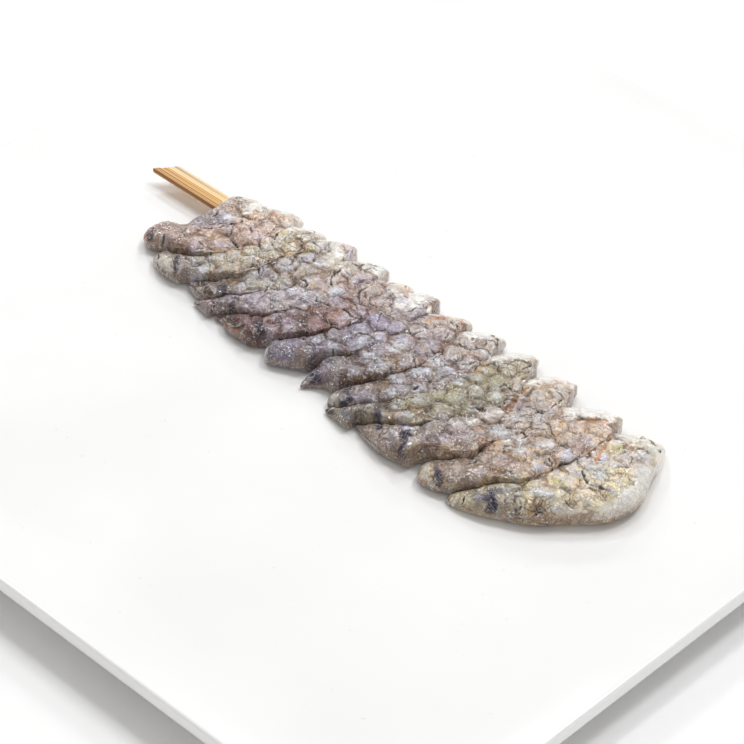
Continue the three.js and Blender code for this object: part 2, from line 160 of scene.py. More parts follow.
# Every prawn: plan points of its middle line from head end to tail tip, half widths and heights
# there, taper of the tip, its tone, and its marks as (kind, width, point, point, ...).
PRAWNS = [
    dict(
        places=[(-57.6, 16), (-58.2, 7.5), (-59.4, 1), (-61.4, -3.2), (-63.8, -5), (-66.2, -6)],
        half=[3.3, 5, 6, 4.8, 3.6, 2.5], high=[3.2, 6, 6.5, 6, 5, 3.6], taper=3,
        tone=(0.73, 0.675, 0.665),
        marks=[
            ("white", 1.8, (-57, 12.4), (-56, 7)),
            ("line", 0.35, (-62.6, 9.6), (-60.8, 13.4), (-60, 15.2), (-57.2, 14.8)),
            ("line", 0.3, (-60.2, 11.4), (-59.6, 14.2), (-58.6, 13.4)), ("bluish", 3, (-57.5, 2)),
            ("pink", 1.6, (-61, 7), (-59, 4.6)), ("crack", 0.35, (-62.2, 2.6), (-61, 1.2), (-61.6, -0.4)),
            ("lilac", 3, (-66, -1), (-62, -6)),
            ("line", 0.3, (-54, 3.6), (-55, -1), (-58.5, -5.4), (-62, -7.2)),
        ],
    ),
    dict(
        places=[(-50.2, 18.6), (-47.8, 7), (-48, -3), (-54.5, -10.8), (-62.8, -13), (-72, -13.4)],
        half=[4.3, 5.3, 5.5, 5.7, 5.2, 4.2], high=[2.8, 7.4, 7.6, 7, 6, 4.6], taper=4,
        tone=(0.74, 0.65, 0.605),
        marks=[
            ("white", 3.1, (-55, 12.4), (-52.4, 14.2), (-49.6, 15.8), (-45.4, 16)),
            ("peach", 1.5, (-49.4, 11), (-46.4, 13.6)),
            ("orange", 0.35, (-53.4, 10.4), (-48.4, 11.4), (-47, 14.8), (-44, 14)),
            ("orange", 0.3, (-51, 9.1), (-48, 9.3)), ("ochre", 1, (-53.2, 9.4), (-53, 5.4), (-53.4, 3)),
            ("crack", 0.25, (-47.2, 15), (-46.4, 14.8)),
            ("line", 0.3, (-52.5, 3.4), (-50, 3.2), (-48.6, 1.4), (-47.8, 0)),
            ("brown", 0.45, (-53.5, 2.8), (-53.8, 0.4), (-52, -3.4)), ("lilac", 2.6, (-45.5, 1.5)),
            ("crack", 0.4, (-50.4, -3.9), (-48.4, -4.6), (-46, -5.5)), ("brown", 0.9, (-45.7, -4)),
            ("lilac", 3, (-50, -7.6)), ("line", 0.35, (-55, -11), (-52.5, -10.9), (-50.6, -10.8)),
            ("crack", 0.35, (-53, -12.2), (-52.4, -12.5)), ("tan", 3, (-60.4, -12.6), (-58, -13.4)),
            ("brown", 0.4, (-62.6, -8.6), (-61.6, -11)), ("pink", 3.4, (-67, -12), (-63, -12.6)),
            ("orange", 1.3, (-69.4, -16.6), (-67.4, -19.6)), ("band", 0.6, (-69, -14.4), (-67.8, -16)),
            ("band", 1, (-67, -17.2), (-65.8, -19)),
            ("line", 0.4, (-64.6, -15), (-62.4, -17.6), (-60.4, -18.6)),
            ("ochre", 0.8, (-60, -17.4), (-57.4, -17), (-54, -15.2)),
        ],
    ),
    dict(
        places=[(-40.2, 17.6), (-37.2, 6), (-37.2, -5), (-43.5, -15.8), (-53.3, -19.7), (-63, -19.6)],
        half=[3.8, 4.3, 4.2, 4.6, 4, 2.5], high=[2.8, 7.4, 7.5, 6.8, 5.2, 3.4], taper=5,
        tone=(0.765, 0.71, 0.64),
        marks=[
            ("white", 2.9, (-43, 11.2), (-41, 13.4), (-38.6, 15)),
            ("olive", 0.4, (-37.2, 14), (-37.6, 11.8), (-39.4, 9.4)),
            ("olive", 0.35, (-39.4, 6.6), (-37, 8.9), (-34.8, 7), (-34.2, 4), (-36, 1.6), (-39, 2)),
            ("yellow", 1.3, (-42.4, 7.4), (-41.8, 6.4)), ("yellow", 1.4, (-37.6, 4.4)),
            ("line", 0.3, (-43.4, 8.4), (-42.8, 5), (-41.4, 2.4), (-38.6, 0.2)),
            ("green", 6, (-40, 3), (-41, -8), (-50, -17)),
            ("crack", 0.35, (-40, -5.8), (-37.4, -6), (-34.8, -7), (-33, -9.4)),
            ("brown", 0.8, (-34.6, -4.2), (-34.6, -5.8)), ("crack", 0.3, (-39.8, -13.4), (-39, -13.4)),
            ("line", 0.3, (-49.8, -11.6), (-48.4, -14), (-45, -16.4)),
            ("pale", 2.4, (-57, -22), (-53, -24.4)),
            ("band", 0.75, (-54.8, -19.4), (-52.8, -21.4), (-50.4, -24.4), (-49, -25.2)),
            ("crack", 0.35, (-59.4, -21.4), (-58.2, -23), (-57.4, -24.4), (-55.8, -25.2)),
            ("brown", 0.9, (-45.4, -21.4), (-42, -19.4)), ("crack", 0.5, (-42.4, -19.6), (-41.8, -19.2)),
        ],
    ),
    dict(
        places=[(-32.2, 18.3), (-26.6, 7), (-26.1, -3), (-30.5, -13.8), (-38.3, -20.2), (-48, -21.7)],
        half=[4, 5.6, 5.2, 3.8, 3.4, 2], high=[2.8, 7.4, 7.6, 6.8, 5, 2.8], taper=6,
        tone=(0.665, 0.625, 0.59),
        marks=[
            ("pale", 3.6, (-33, 13.4), (-30, 13.2), (-26.4, 11.4), (-23.4, 8.4)),
            ("white", 1.7, (-27, 11.8), (-25.6, 11)),
            ("orange", 0.3, (-34.6, 15.2), (-31.4, 16.4), (-26, 13.8), (-22.4, 10.4)),
            ("olive", 0.3, (-31.4, 14.4), (-30.2, 11), (-29.4, 7.4), (-28, 4.4), (-26.8, 2.4)),
            ("yellow", 1.2, (-32.6, 8), (-32.6, 6)), ("line", 0.3, (-31.2, 3.2), (-28.4, 2.6)),
            ("brown", 0.8, (-33.6, 4), (-32.6, 1.4), (-31.2, -0.6)), ("bluish", 2.7, (-26, 4)),
            ("bluish", 3, (-30.4, -3)), ("green", 3.4, (-28, -8), (-31, -13)),
            ("crack", 0.35, (-25, -3), (-23, -2.9), (-22, -4.8)),
            ("brown", 0.7, (-22.4, -3.4), (-22, -5)), ("line", 0.35, (-29, -10), (-27.2, -13.9)),
            ("band", 1.3, (-37.4, -19.8), (-34.4, -21.8)), ("crack", 0.6, (-44.8, -22.8), (-44, -22.6)),
            ("brown", 1.5, (-44, -22), (-40, -23.2), (-37, -24)),
            ("pink", 0.5, (-44, -24.3), (-39.4, -24.9)), ("line", 0.3, (-45.4, -24.6), (-39, -25.8)),
        ],
    ),
    dict(
        places=[(-19.6, 18.1), (-14.4, 6), (-14.9, -4.5), (-21, -16), (-28.8, -22.9), (-41.3, -26)],
        half=[4.4, 4.8, 5.3, 5, 4, 1.3], high=[2.8, 7.4, 7.6, 7, 5.6, 2.4], taper=8,
        tone=(0.655, 0.61, 0.605),
        marks=[
            ("white", 2.9, (-22.4, 11.6), (-20, 14), (-16, 15.6), (-12.4, 12.4)),
            ("line", 0.3, (-17.8, 10), (-17.8, 13.4), (-15, 14.6)),
            ("crack", 0.3, (-15.8, 11.4), (-15.6, 13.2), (-13.6, 13)),
            ("line", 0.3, (-19.6, 7), (-17.4, 7.2)), ("crack", 0.28, (-12.9, 8.2), (-12.8, 6.2)),
            ("brown", 0.4, (-14, 4.4), (-13, 5.2), (-11.8, 3.8)),
            ("ochre", 0.9, (-21.4, 7.4), (-20, 3.4)),
            ("line", 0.4, (-21.2, 7), (-20, 3.4), (-19.2, 1.8), (-17.2, 0.8)),
            ("bluish", 3.2, (-14, -0.6)),
            ("crack", 0.4, (-16.8, -5), (-15.4, -7), (-13.8, -6.1), (-11.8, -5.9)),
            ("ochre", 0.7, (-22, -1), (-20.4, -3.6)), ("bluish", 3.2, (-19.4, -8)),
            ("bluish", 2.8, (-23, -14)), ("lilac", 5, (-32, -21), (-26, -17)),
            ("line", 0.3, (-19.4, -12.6), (-17.4, -14), (-20, -18)),
            ("band", 0.95, (-31.2, -20.6), (-29.8, -22.6), (-28, -24.2)),
            ("pink", 1.8, (-37.4, -27.6), (-34.4, -26.4)), ("line", 0.35, (-38, -29.2), (-36, -29)),
            ("crack", 0.3, (-35.4, -25.4), (-33.4, -26.6), (-31.8, -28.6)),
        ],
    ),
    dict(
        places=[(-7.2, 17.2), (-4.5, 6), (-5, -5.5), (-10.5, -17.6), (-18.5, -24.2), (-33.3, -26)],
        half=[3.8, 5, 5.3, 4.5, 3.4, 1.7], high=[2.8, 7.4, 7.6, 7, 5.4, 2.6], taper=8,
        tone=(0.53, 0.435, 0.425),
        marks=[
            ("white", 1.8, (-10.4, 12), (-9, 14)), ("white", 1, (-4.6, 9.4), (-2, 9.8)),
            ("peach", 2.4, (-6, 13), (-2.6, 12)),
            ("brown", 0.35, (-9.2, 10.2), (-7.4, 12), (-6.8, 13.8), (-5.4, 14.6), (-3.2, 13.2)),
            ("orange", 0.3, (-4.6, 15.4), (-1.6, 13), (-0.6, 11)), ("ochre", 0.9, (-10.8, 7), (-10.4, 4)),
            ("line", 0.5, (-10.8, 6.4), (-10.6, 4), (-9.6, 2), (-7.2, 0.6)), ("tan", 3, (-7, 6)),
            ("line", 0.28, (-3.2, 7), (-2.5, 5), (-1.6, 3)),
            ("line", 0.3, (-8.2, -0.8), (-6, -1.8), (-4.6, -2)),
            ("crack", 0.5, (-8.6, -4.4), (-6, -4.9), (-4, -5.2), (-1.6, -4.6)),
            ("brown", 0.9, (-2.2, -4.2), (-1.8, -5)), ("pink", 2.8, (-4, -8.4)),
            ("line", 0.4, (-7.6, -10), (-5.6, -11), (-5, -13)), ("brown", 2.6, (-13, -15), (-9, -18.6)),
            ("crack", 0.3, (-12.4, -19.4), (-11, -19.6)),
            ("band", 1.7, (-19.4, -23.4), (-17, -25.4), (-14.6, -28), (-13.4, -29.4)),
            ("brown", 1.9, (-30, -27.4), (-22, -28)), ("pale", 0.4, (-28, -29), (-23, -28.8)),
            ("line", 0.3, (-30.8, -27.2), (-28.6, -26), (-27, -26.2)),
            ("orange", 0.35, (-31.2, -28.4), (-29.8, -30.2), (-20, -30)),
        ],
    ),
    dict(
        places=[(-1.2, 17.9), (5, 6), (6.8, -5.5), (1.8, -16.6), (-5.2, -23.2), (-12.8, -28)],
        half=[3.8, 5.4, 5, 4.4, 4, 3.4], high=[2.8, 7.4, 7.6, 7, 6, 4.8], taper=3,
        tone=(0.59, 0.55, 0.575),
        marks=[
            ("white", 3.3, (1.4, 12.6), (2.8, 9), (1.6, 6.6)),
            ("line", 0.35, (4.4, 6.6), (4.8, 9), (6.6, 10.6)),
            ("crack", 0.32, (7.2, 4), (7.4, 6.6), (9.2, 7)), ("ochre", 0.8, (0, 4), (2, 2.8)),
            ("line", 0.32, (-5, 2.5), (0.4, 1.9), (7.4, 1.8), (9.4, 0.8), (11.6, -0.2)),
            ("lilac", 4, (6, -1.6)), ("line", 0.28, (0, 1.4), (1, -1), (2.4, -3.4), (4, -5)),
            ("crack", 0.4, (1.5, -10.4), (2, -8.4), (4.2, -7.6), (6.4, -7.6), (7.8, -8.4)),
            ("bluish", 3, (4.6, -10.4)), ("lilac", 3, (-1, -17)), ("line", 0.35, (1.6, -18), (3, -19.2)),
            ("lilac", 4.4, (-8, -24.6)), ("tan", 1.8, (-4, -24), (0, -27.6)),
            ("line", 0.35, (-7.2, -19.6), (-5.8, -21.2)),
            ("steel", 1.1, (-11.6, -24), (-10, -27), (-8, -29.6), (-6.2, -31.8)),
            ("white", 0.9, (-11.6, -29), (-9, -31.6)),
        ],
    ),
    dict(
        places=[(11.8, 16.7), (16.6, 6), (17.9, -5.5), (13, -17.8), (5.5, -24.4), (2.5, -30.4)],
        half=[4.2, 4.9, 5.6, 5.7, 4.2, 1.2], high=[2.8, 7.4, 7.8, 7.4, 6, 2.8], taper=6,
        tone=(0.6, 0.555, 0.55),
        marks=[
            ("white", 2.6, (8.6, 11), (10.4, 13.6)),
            ("orange", 0.55, (10.4, 7.6), (12.4, 11), (13, 14.6), (16, 14.6), (18.4, 10.6)),
            ("ochre", 1.3, (11, 7.4), (13.4, 8)), ("peach", 2, (14, 12), (16.6, 12.4)),
            ("line", 0.3, (15, 10.6), (18.2, 10.6)), ("line", 0.35, (17.8, 7.6), (18.6, 5)),
            ("line", 0.4, (11.8, 3), (12, 0)), ("lilac", 2.8, (17.4, 2.6)), ("tan", 2.6, (17.4, -2)),
            ("crack", 0.42, (17.6, -6), (19.4, -7), (21.2, -8.8)), ("bluish", 3.2, (12.6, -7)),
            ("bluish", 3.6, (10, -13)), ("line", 0.35, (15.6, -12.6), (17, -12.8), (19, -14.2)),
            ("olive", 0.4, (6, -15), (4.6, -17.8), (2.4, -20.2), (1.2, -25)),
            ("brown", 1.7, (10, -22), (12.4, -25.4)), ("steel", 2.6, (4, -21.4), (5, -24)),
            ("band", 1.3, (2.4, -25.4), (4.6, -27.4), (7, -29.2), (8.8, -30.6)),
            ("pale", 1.4, (3, -30), (5, -33)), ("line", 0.3, (2.6, -29.4), (5, -30.8), (5.2, -33)),
        ],
    ),
    dict(
        places=[(22.4, 17.6), (27.6, 6), (29.3, -6), (25, -18.3), (17.8, -26.6), (11.8, -30)],
        half=[4.4, 5.5, 5.8, 4.5, 4.2, 3], high=[2.8, 7.4, 7.6, 7, 5.6, 4], taper=4,
        tone=(0.615, 0.575, 0.56),
        marks=[
            ("white", 2.7, (22.2, 10.6), (24.4, 13.2)),
            ("line", 0.28, (21.2, 14.4), (24, 15.4), (28, 14), (30, 11.6)),
            ("brown", 0.35, (23.4, 9.4), (25.4, 11.4), (27.4, 12.8), (29.6, 12)),
            ("line", 0.3, (22.4, 6), (25.2, 5.8)),
            ("line", 0.4, (25.6, 6), (26.8, 8), (28.6, 8.6), (30.6, 8)), ("ochre", 1, (21.8, 6.6)),
            ("pink", 2.8, (28, 5)), ("crack", 0.3, (30.2, 4), (29.8, 2), (28.4, 0.4)),
            ("line", 0.35, (22.3, -0.4), (22.2, -3)), ("line", 0.3, (25, -0.6), (27, -1.4)),
            ("bluish", 2.6, (26, -3.6)), ("lilac", 2.4, (31, -3)), ("bluish", 2.6, (24, -8.6)),
            ("crack", 0.4, (26.4, -13.4), (27.2, -15)), ("brown", 0.8, (22, -13)),
            ("ochre", 0.7, (20, -16), (18.4, -18), (15, -22), (12.4, -25.4)),
            ("olive", 0.35, (20, -16), (18.4, -18), (15, -22), (12, -26)), ("lilac", 2.8, (23.6, -17.4)),
            ("crack", 0.3, (23.2, -15.2), (23.8, -15.6)), ("pink", 2.6, (18, -22)),
            ("band", 0.8, (14.8, -26.6), (17, -28)), ("band", 1.1, (18.2, -29), (18.8, -32)),
            ("pale", 1.4, (13.6, -29.6), (16, -32.4)),
        ],
    ),
    dict(
        places=[(32.2, 16.6), (40, 6), (42, -6.5), (35.5, -20.6), (27.4, -28), (13.6, -32.6)],
        half=[4.8, 6.3, 6.6, 5.6, 4.5, 1.8], high=[2.8, 7.4, 8, 7.4, 5.8, 2.6], taper=8,
        tone=(0.57, 0.54, 0.455),
        marks=[
            ("white", 2.8, (32.4, 8.6), (34, 12), (37, 14.4)),
            ("olive", 0.45, (36.4, 8.6), (36.8, 11), (38, 12), (41.4, 12.2)),
            ("crack", 0.4, (40.4, 12.2), (41, 10.6), (40.4, 9.6)),
            ("olive", 0.3, (37, 8), (36, 6), (34, 5.4)), ("ochre", 1.1, (32, 5), (33, 2), (33.4, 0)),
            ("olive", 0.3, (34.4, 4.6), (37, 4.8)), ("green", 3, (38, 2)), ("peach", 2, (42.4, 4.6)),
            ("crack", 0.4, (41, 0.4), (41, 2), (43.6, 2)), ("olive", 0.5, (35.6, -2.4), (40, -3)),
            ("bluish", 3, (43, -2.8)), ("pale", 2, (37.4, -4.2)),
            ("brown", 0.8, (36.8, -6.4), (39, -8), (41, -8.6)), ("crack", 0.75, (43.2, -9), (44.6, -8.8)),
            ("green", 5, (37, -12), (33, -17)), ("yellow", 1, (33, -13.6)),
            ("line", 0.35, (40, -16), (41, -18)), ("olive", 0.35, (29, -17), (27, -21), (25.6, -23)),
            ("pale", 1, (47.6, -5.6), (47.4, -8.4), (46, -13), (43, -18)), ("tan", 3.4, (30, -25.6)),
            ("band", 1.4, (26.4, -27), (28.6, -29), (31, -31.6)), ("steel", 1.6, (20, -33), (24.6, -34)),
            ("band", 1.2, (17, -35.4), (18.8, -36.4)),
        ],
    ),
    dict(
        places=[(45, 15.7), (52, 5), (54.6, -6.5), (49, -21.2), (40.2, -29.6), (23.2, -31.8)],
        half=[5, 6.3, 5.7, 5.8, 4.3, 1.6], high=[2.8, 7.4, 7.8, 7.6, 6, 2.4], taper=8,
        tone=(0.67, 0.62, 0.585),
        marks=[
            ("white", 2.6, (45.6, 8), (47, 11)), ("white", 1.3, (51, 14), (54, 13)),
            ("orange", 0.42, (49.4, 8), (50.1, 12.4), (52, 12.8), (54.4, 12)),
            ("orange", 0.3, (52, 14.4), (54.6, 12), (58, 9.4)), ("line", 0.3, (52.4, 9), (57, 8)),
            ("peach", 3.6, (50, 7.4), (56, 6)), ("line", 0.32, (55.4, 7), (55.6, 3)),
            ("crack", 0.5, (55, 1), (54.2, -0.4)), ("amber", 1.1, (46, 5), (46.4, 2)),
            ("umber", 1.1, (46.6, 0.4), (48, -2.4), (48.4, -4)), ("line", 0.3, (50, -2.5), (52, -2.6)),
            ("bluish", 2.6, (56.4, -2)), ("bluish", 3, (52.4, -5.4)),
            ("crack", 0.45, (53, -9.1), (55.4, -8), (56.6, -7.8)),
            ("crack", 0.45, (57, -8.6), (58.8, -9), (58.4, -10.2)),
            ("brown", 0.4, (57, -6), (59.6, -4.2)), ("bluish", 3.2, (51.4, -12), (56, -12.4)),
            ("orange", 0.5, (51, -17.6), (53, -17), (55, -17.2)), ("lilac", 3.4, (47, -19.4)),
            ("tan", 1.8, (48, -25), (50, -28)), ("ochre", 0.5, (52, -24), (49.6, -28)),
            ("lilac", 3.6, (42.4, -26)), ("band", 1.15, (37, -28), (39, -31), (41.4, -34), (43.2, -35.8)),
            ("pink", 1.7, (30, -34.4), (37.6, -35.4)),
            ("line", 0.35, (25, -34.4), (30, -36.6), (38, -37)), ("line", 0.3, (33, -33), (34.6, -35.4)),
        ],
    ),
    dict(
        places=[(61, 13.9), (66.4, 4), (68.3, -8), (62, -23.8), (53.2, -31.2), (46.3, -32.6)],
        half=[5.4, 7, 7.5, 6.2, 4.4, 3.5], high=[2.8, 7.4, 8, 7.6, 6, 4.4], taper=4,
        tone=(0.755, 0.68, 0.61),
        marks=[
            ("white", 3, (60.4, 6), (63.4, 9), (68, 10.6)),
            ("orange", 0.4, (64, 3.4), (66, 5.6), (67.5, 9), (69.4, 8.4), (71.6, 8)),
            ("peach", 3, (68.4, 5.4), (71, 3)),
            ("orange", 0.45, (72.4, 6), (74, 2), (75.4, -1.6), (76.8, -4)),
            ("amber", 0.9, (60.8, 2), (61.4, 0)), ("pink", 2.8, (68.4, 1.8)), ("tan", 2.6, (65, -1.8)),
            ("pink", 2.6, (70.4, -2.6)), ("brown", 0.7, (74.1, -3.8), (73.9, -5.2)),
            ("line", 0.3, (60.4, -4.4), (64, -5), (70, -5.4), (72.6, -5.6)), ("bluish", 2.7, (64.4, -8)),
            ("bluish", 2.8, (70.8, -7.8)), ("crack", 0.4, (64.6, -12.2), (65.6, -12.4)),
            ("crack", 0.35, (67.8, -11.2), (69.8, -11.5), (70, -12.8), (68.2, -12.6)),
            ("bluish", 2.6, (61.6, -14)), ("bluish", 2.8, (68, -15.6)),
            ("brown", 0.6, (58, -15), (58.6, -17)), ("crack", 0.5, (64.6, -20.8), (65.6, -20.8)),
            ("tan", 3, (63, -22)), ("amber", 0.9, (62.2, -27.6), (62.8, -29)),
            ("olive", 0.5, (54, -23.4), (56.4, -24.6), (56, -27)), ("pink", 3, (55, -29)),
            ("band", 0.8, (51.4, -32.3), (53.4, -34), (56, -37), (58, -38.6)),
            ("pale", 1.5, (48.4, -33.4), (52, -37), (55.4, -38.4)),
            ("orange", 0.4, (47.4, -35), (50, -37.8), (56, -39.4)),
        ],
    ),
    dict(
        places=[(77.8, 15), (81.2, 4), (83.6, -10.5), (76, -23.8), (67, -30.4), (57.8, -35.8)],
        half=[4.6, 6.3, 8.2, 5.4, 3.9, 2], high=[2.8, 7.2, 7.6, 7.2, 5.6, 2.8], taper=5,
        tone=(0.87, 0.825, 0.72),
        marks=[
            ("pale", 3.4, (76.4, 9), (80, 10.6), (84.4, 9)),
            ("olive", 0.32, (78.8, 10.4), (79, 11.2), (82, 11), (83, 10.4)),
            ("crack", 0.3, (85, 10.2), (86, 9.8)), ("line", 0.32, (80.4, 6.8), (82.4, 7.4), (84.6, 7)),
            ("yellow", 2.8, (77, 3)), ("olive", 0.35, (79, 3.4), (82.6, 3.2), (83.4, -0.6), (81, -2.4)),
            ("bluish", 2.3, (83, 5)), ("bluish", 3.2, (78.8, -6), (80.8, -7)),
            ("crack", 0.42, (76.8, -8.6), (79, -10.4), (80.8, -11.3), (82.4, -10.6)),
            ("crack", 0.75, (83.2, -9.9), (84, -9.9)), ("line", 0.35, (84.6, -10), (87, -9.4)),
            ("white", 4.6, (88.4, 3), (91.6, -6), (91.2, -16)), ("pale", 3, (84, -23), (90, -19)),
            ("yellow", 1.6, (75, -16), (77, -16)), ("peach", 2.4, (78, -13), (84, -15)),
            ("crack", 0.45, (81.6, -19.8), (84.2, -20.8)), ("tan", 3, (88.6, -20.6), (84.4, -27)),
            ("bluish", 2.8, (74, -22)), ("bluish", 2.4, (82, -24)),
            ("line", 0.35, (80, -23), (80.4, -26), (79.4, -28.4)),
            ("line", 0.35, (73.6, -27.8), (76.4, -30), (77, -31.6)),
            ("line", 0.4, (66, -38.4), (72, -36.9), (75, -35), (80, -30)),
            ("band", 1.4, (66.8, -29.8), (68.4, -31.8)),
            ("band", 1.5, (70, -33), (71.4, -35.4), (72.4, -37)), ("steel", 3, (66, -33)),
            ("line", 0.35, (63.4, -35.2), (65, -38)), ("pale", 1, (61, -36), (63, -38)),
        ],
    ),
]


def look(colour, strength, relief, soft, wander, plain=0, lip=0, scale=1):
    """How a kind of mark looks.

    Relief is in mm, and below 0 it carves. Soft is the share of the width that fades, and wander is
    how far its edge strays in mm. Plain smooths the fine grain away, lip is the strength of a pale
    rim painted as a highlight beside the mark, and scale makes the mark wider or thinner than its table
    says.
    """
    return dict(
        colour=np.array(colour), strength=strength, relief=relief, soft=soft, wander=wander,
        plain=plain, lip=lip, scale=scale,
    )


MARKS = {
    "white": look((0.94, 0.93, 0.91), 0.92, 0, 0.7, 0.6, plain=0.65),
    "pale": look((0.88, 0.86, 0.81), 0.8, 0.05, 0.6, 0.8, plain=0.5),
    "peach": look((0.9, 0.79, 0.67), 0.5, 0, 0.9, 0.9),
    "pink": look((0.77, 0.65, 0.6), 0.65, 0.2, 0.9, 0.7),
    "tan": look((0.64, 0.52, 0.41), 0.65, 0.1, 0.9, 0.9),
    "lilac": look((0.67, 0.63, 0.71), 0.55, 0.25, 0.9, 0.7),
    "bluish": look((0.83, 0.85, 0.89), 0.75, 0.4, 0.9, 0.5),
    "steel": look((0.48, 0.47, 0.53), 0.7, 0, 0.8, 0.6),
    "green": look((0.66, 0.66, 0.52), 0.3, 0, 0.9, 0.9),
    "yellow": look((0.8, 0.74, 0.46), 0.65, 0.1, 0.9, 0.7),
    "ochre": look((0.76, 0.58, 0.3), 0.65, -0.1, 1.0, 0.9),
    "amber": look((0.84, 0.62, 0.25), 0.85, -0.2, 0.95, 0.6),
    "umber": look((0.5, 0.3, 0.08), 1, -0.5, 0.7, 0.5),
    "brown": look((0.27, 0.18, 0.13), 0.85, -0.1, 0.8, 0.6),
    "olive": look((0.33, 0.26, 0.12), 0.9, -0.15, 0.6, 0.5),
    "orange": look((0.78, 0.45, 0.22), 0.85, -0.1, 0.7, 0.7),
    # The dark of lines and cracks is in part painted shade in their carved grooves
    "line": look((0.18, 0.11, 0.08), 1, -0.3, 0.45, 0.5, lip=0.3, scale=0.75),
    "band": look((0.12, 0.1, 0.2), 0.95, -0.05, 0.7, 0.7, scale=1.2),
    "crack": look((0.06, 0.03, 0.02), 1, -0.7, 0.45, 0.45, lip=0.4, scale=0.75),
}

# Lamps in metres: name, place, size, power and colour. All of them face the middle of the dish.
LAMPS = [
    ("key", (0.24, 0.5, 1.1), (0.3, 0.3), 4.3, (0.97, 0.985, 1)),
    ("overhead", (-0.3, 0.2, 1.3), (1.5, 1.1), 1.2, (0.93, 0.97, 1)),
    ("fill", (0.7, -0.9, 0.6), (1.2, 0.9), 1.7, (1, 0.98, 0.96)),
]
WORLD_COLOUR = (1, 0.988, 0.97, 1)
WORLD_STRENGTH = 0.45
# Small bright lamps, in a ring round a direction behind the dish, give the wet flesh its sparkles
SPARK_MIDDLE = (-0.45, 0.5, 0.75)
SPARK_LAMPS = 5
SPARK_TILT = math.radians(23)
SPARK_DISTANCE = 1.25
SPARK_SIZE = (0.11, 0.11)
SPARK_POWER = 1.7

# Camera, worked out from the photograph's outline of the dish
CAMERA_PLACE = (427.19, -434.25, 487.68)
CAMERA_FORWARD = (-0.5471, 0.5530, -0.6284)
CAMERA_LENS = 146.84
CAMERA_SENSOR = 36


def linear(colour):
    """Scene-linear colour from display values between 0 and 1."""
    shown = np.asarray(colour, float)
    return np.where(shown <= 0.04045, shown / 12.92, ((shown + 0.055) / 1.055) ** 2.4)


def mix(a, b, t):
    return a + (b - a) * t


def smoothstep(low, high, x):
    t = np.clip((x - low) / (high - low), 0, 1)
    return t * t * (3 - 2 * t)


def draw(a, b):
    """A repeatable draw between 0 and 1 for a pair of whole numbers."""
    wave = math.sin(a * 12.9898 + b * 78.233) * 43758.5453
    return wave - math.floor(wave)


def along(values, t):
    """Value between the stations of a list, for t from 0 to 1."""
    values = np.asarray(values, float)
    place = np.clip(t, 0, 1) * (len(values) - 1)
    left = np.minimum(place.astype(int), len(values) - 2)
    return mix(values[left], values[left + 1], smoothstep(0, 1, place - left))


def lattice(cell, seed):
    """Repeatable value between -1 and 1 for each whole-number cell."""
    number = cell[..., 0] * 374761393 + cell[..., 1] * 668265263 + cell[..., 2] * 2147483647
    number = number + seed * 144665
    number = (number ^ (number >> 13)) * 1274126177
    number = number ^ (number >> 16)
    return (number & 0xFFFF) / 32767.5 - 1


def noise(points, size, seed):
    """Smooth noise between -1 and 1 at points in mm, with features about this size."""
    cell = np.floor(points / size).astype(np.int64)
    within = points / size - cell
    within = within * within * (3 - 2 * within)
    total = 0
    for corner in np.ndindex(2, 2, 2):
        weight = np.prod(np.where(corner, within, 1 - within), axis=-1)
        total = total + weight * lattice(cell + np.array(corner), seed)
    return total


def layered_noise(points, size, seed):
    """Noise in three layers, each half as wide and half as strong as the one before."""
    return sum([noise(points, size / 2**k, seed + k * 17) * 0.5**k for k in range(3)])


def patches(points, low, high, size, number):
    """Soft patches from 0 to 1 in the flesh, about this size, where the noise rises past low."""
    return smoothstep(low, high, noise(points, size, FLESH_SEED + number))


def spline(points, t):
    """Smooth line through plan points, for t from 0 to 1."""
    points = np.asarray(points, float)
    last = len(points) - 1
    place = t * last
    left = np.minimum(place.astype(int), last - 1)
    w = (place - left)[:, None]
    p0, p1 = points[np.maximum(left - 1, 0)], points[left]
    p2, p3 = points[left + 1], points[np.minimum(left + 2, last)]
    v0, v1 = (p2 - p0) / 2, (p3 - p1) / 2
    cubic = (2 * p1 - 2 * p2 + v0 + v1) * w**3
    return cubic + (3 * p2 - 3 * p1 - 2 * v0 - v1) * w**2 + v0 * w + p1


def make_spine(prawn, number):
    """Middle line of a prawn: samples for its neighbours, its places by length, and its lumps."""
    t = np.linspace(0, 1, SPINE_SAMPLES)
    fine = spline(prawn["places"], np.linspace(0, 1, FINE_SAMPLES))
    lengths = np.concatenate([[0], np.cumsum(np.linalg.norm(np.diff(fine, axis=0), axis=1))])
    slope = np.gradient(fine, axis=0)
    spine = dict(
        prawn,
        samples=spline(prawn["places"], t),
        sample_half=along(prawn["half"], t),
        fine=fine,
        lengths=lengths,
        slope=slope / np.linalg.norm(slope, axis=1, keepdims=True),
        length=lengths[-1],
    )
    spine["lumps"] = make_lumps(spine, number)
    return spine


def at_length(spine, values, s):
    """Plan places or directions of a spine at lengths along it."""
    return np.stack([np.interp(s, spine["lengths"], values[:, k]) for k in range(2)], axis=-1)


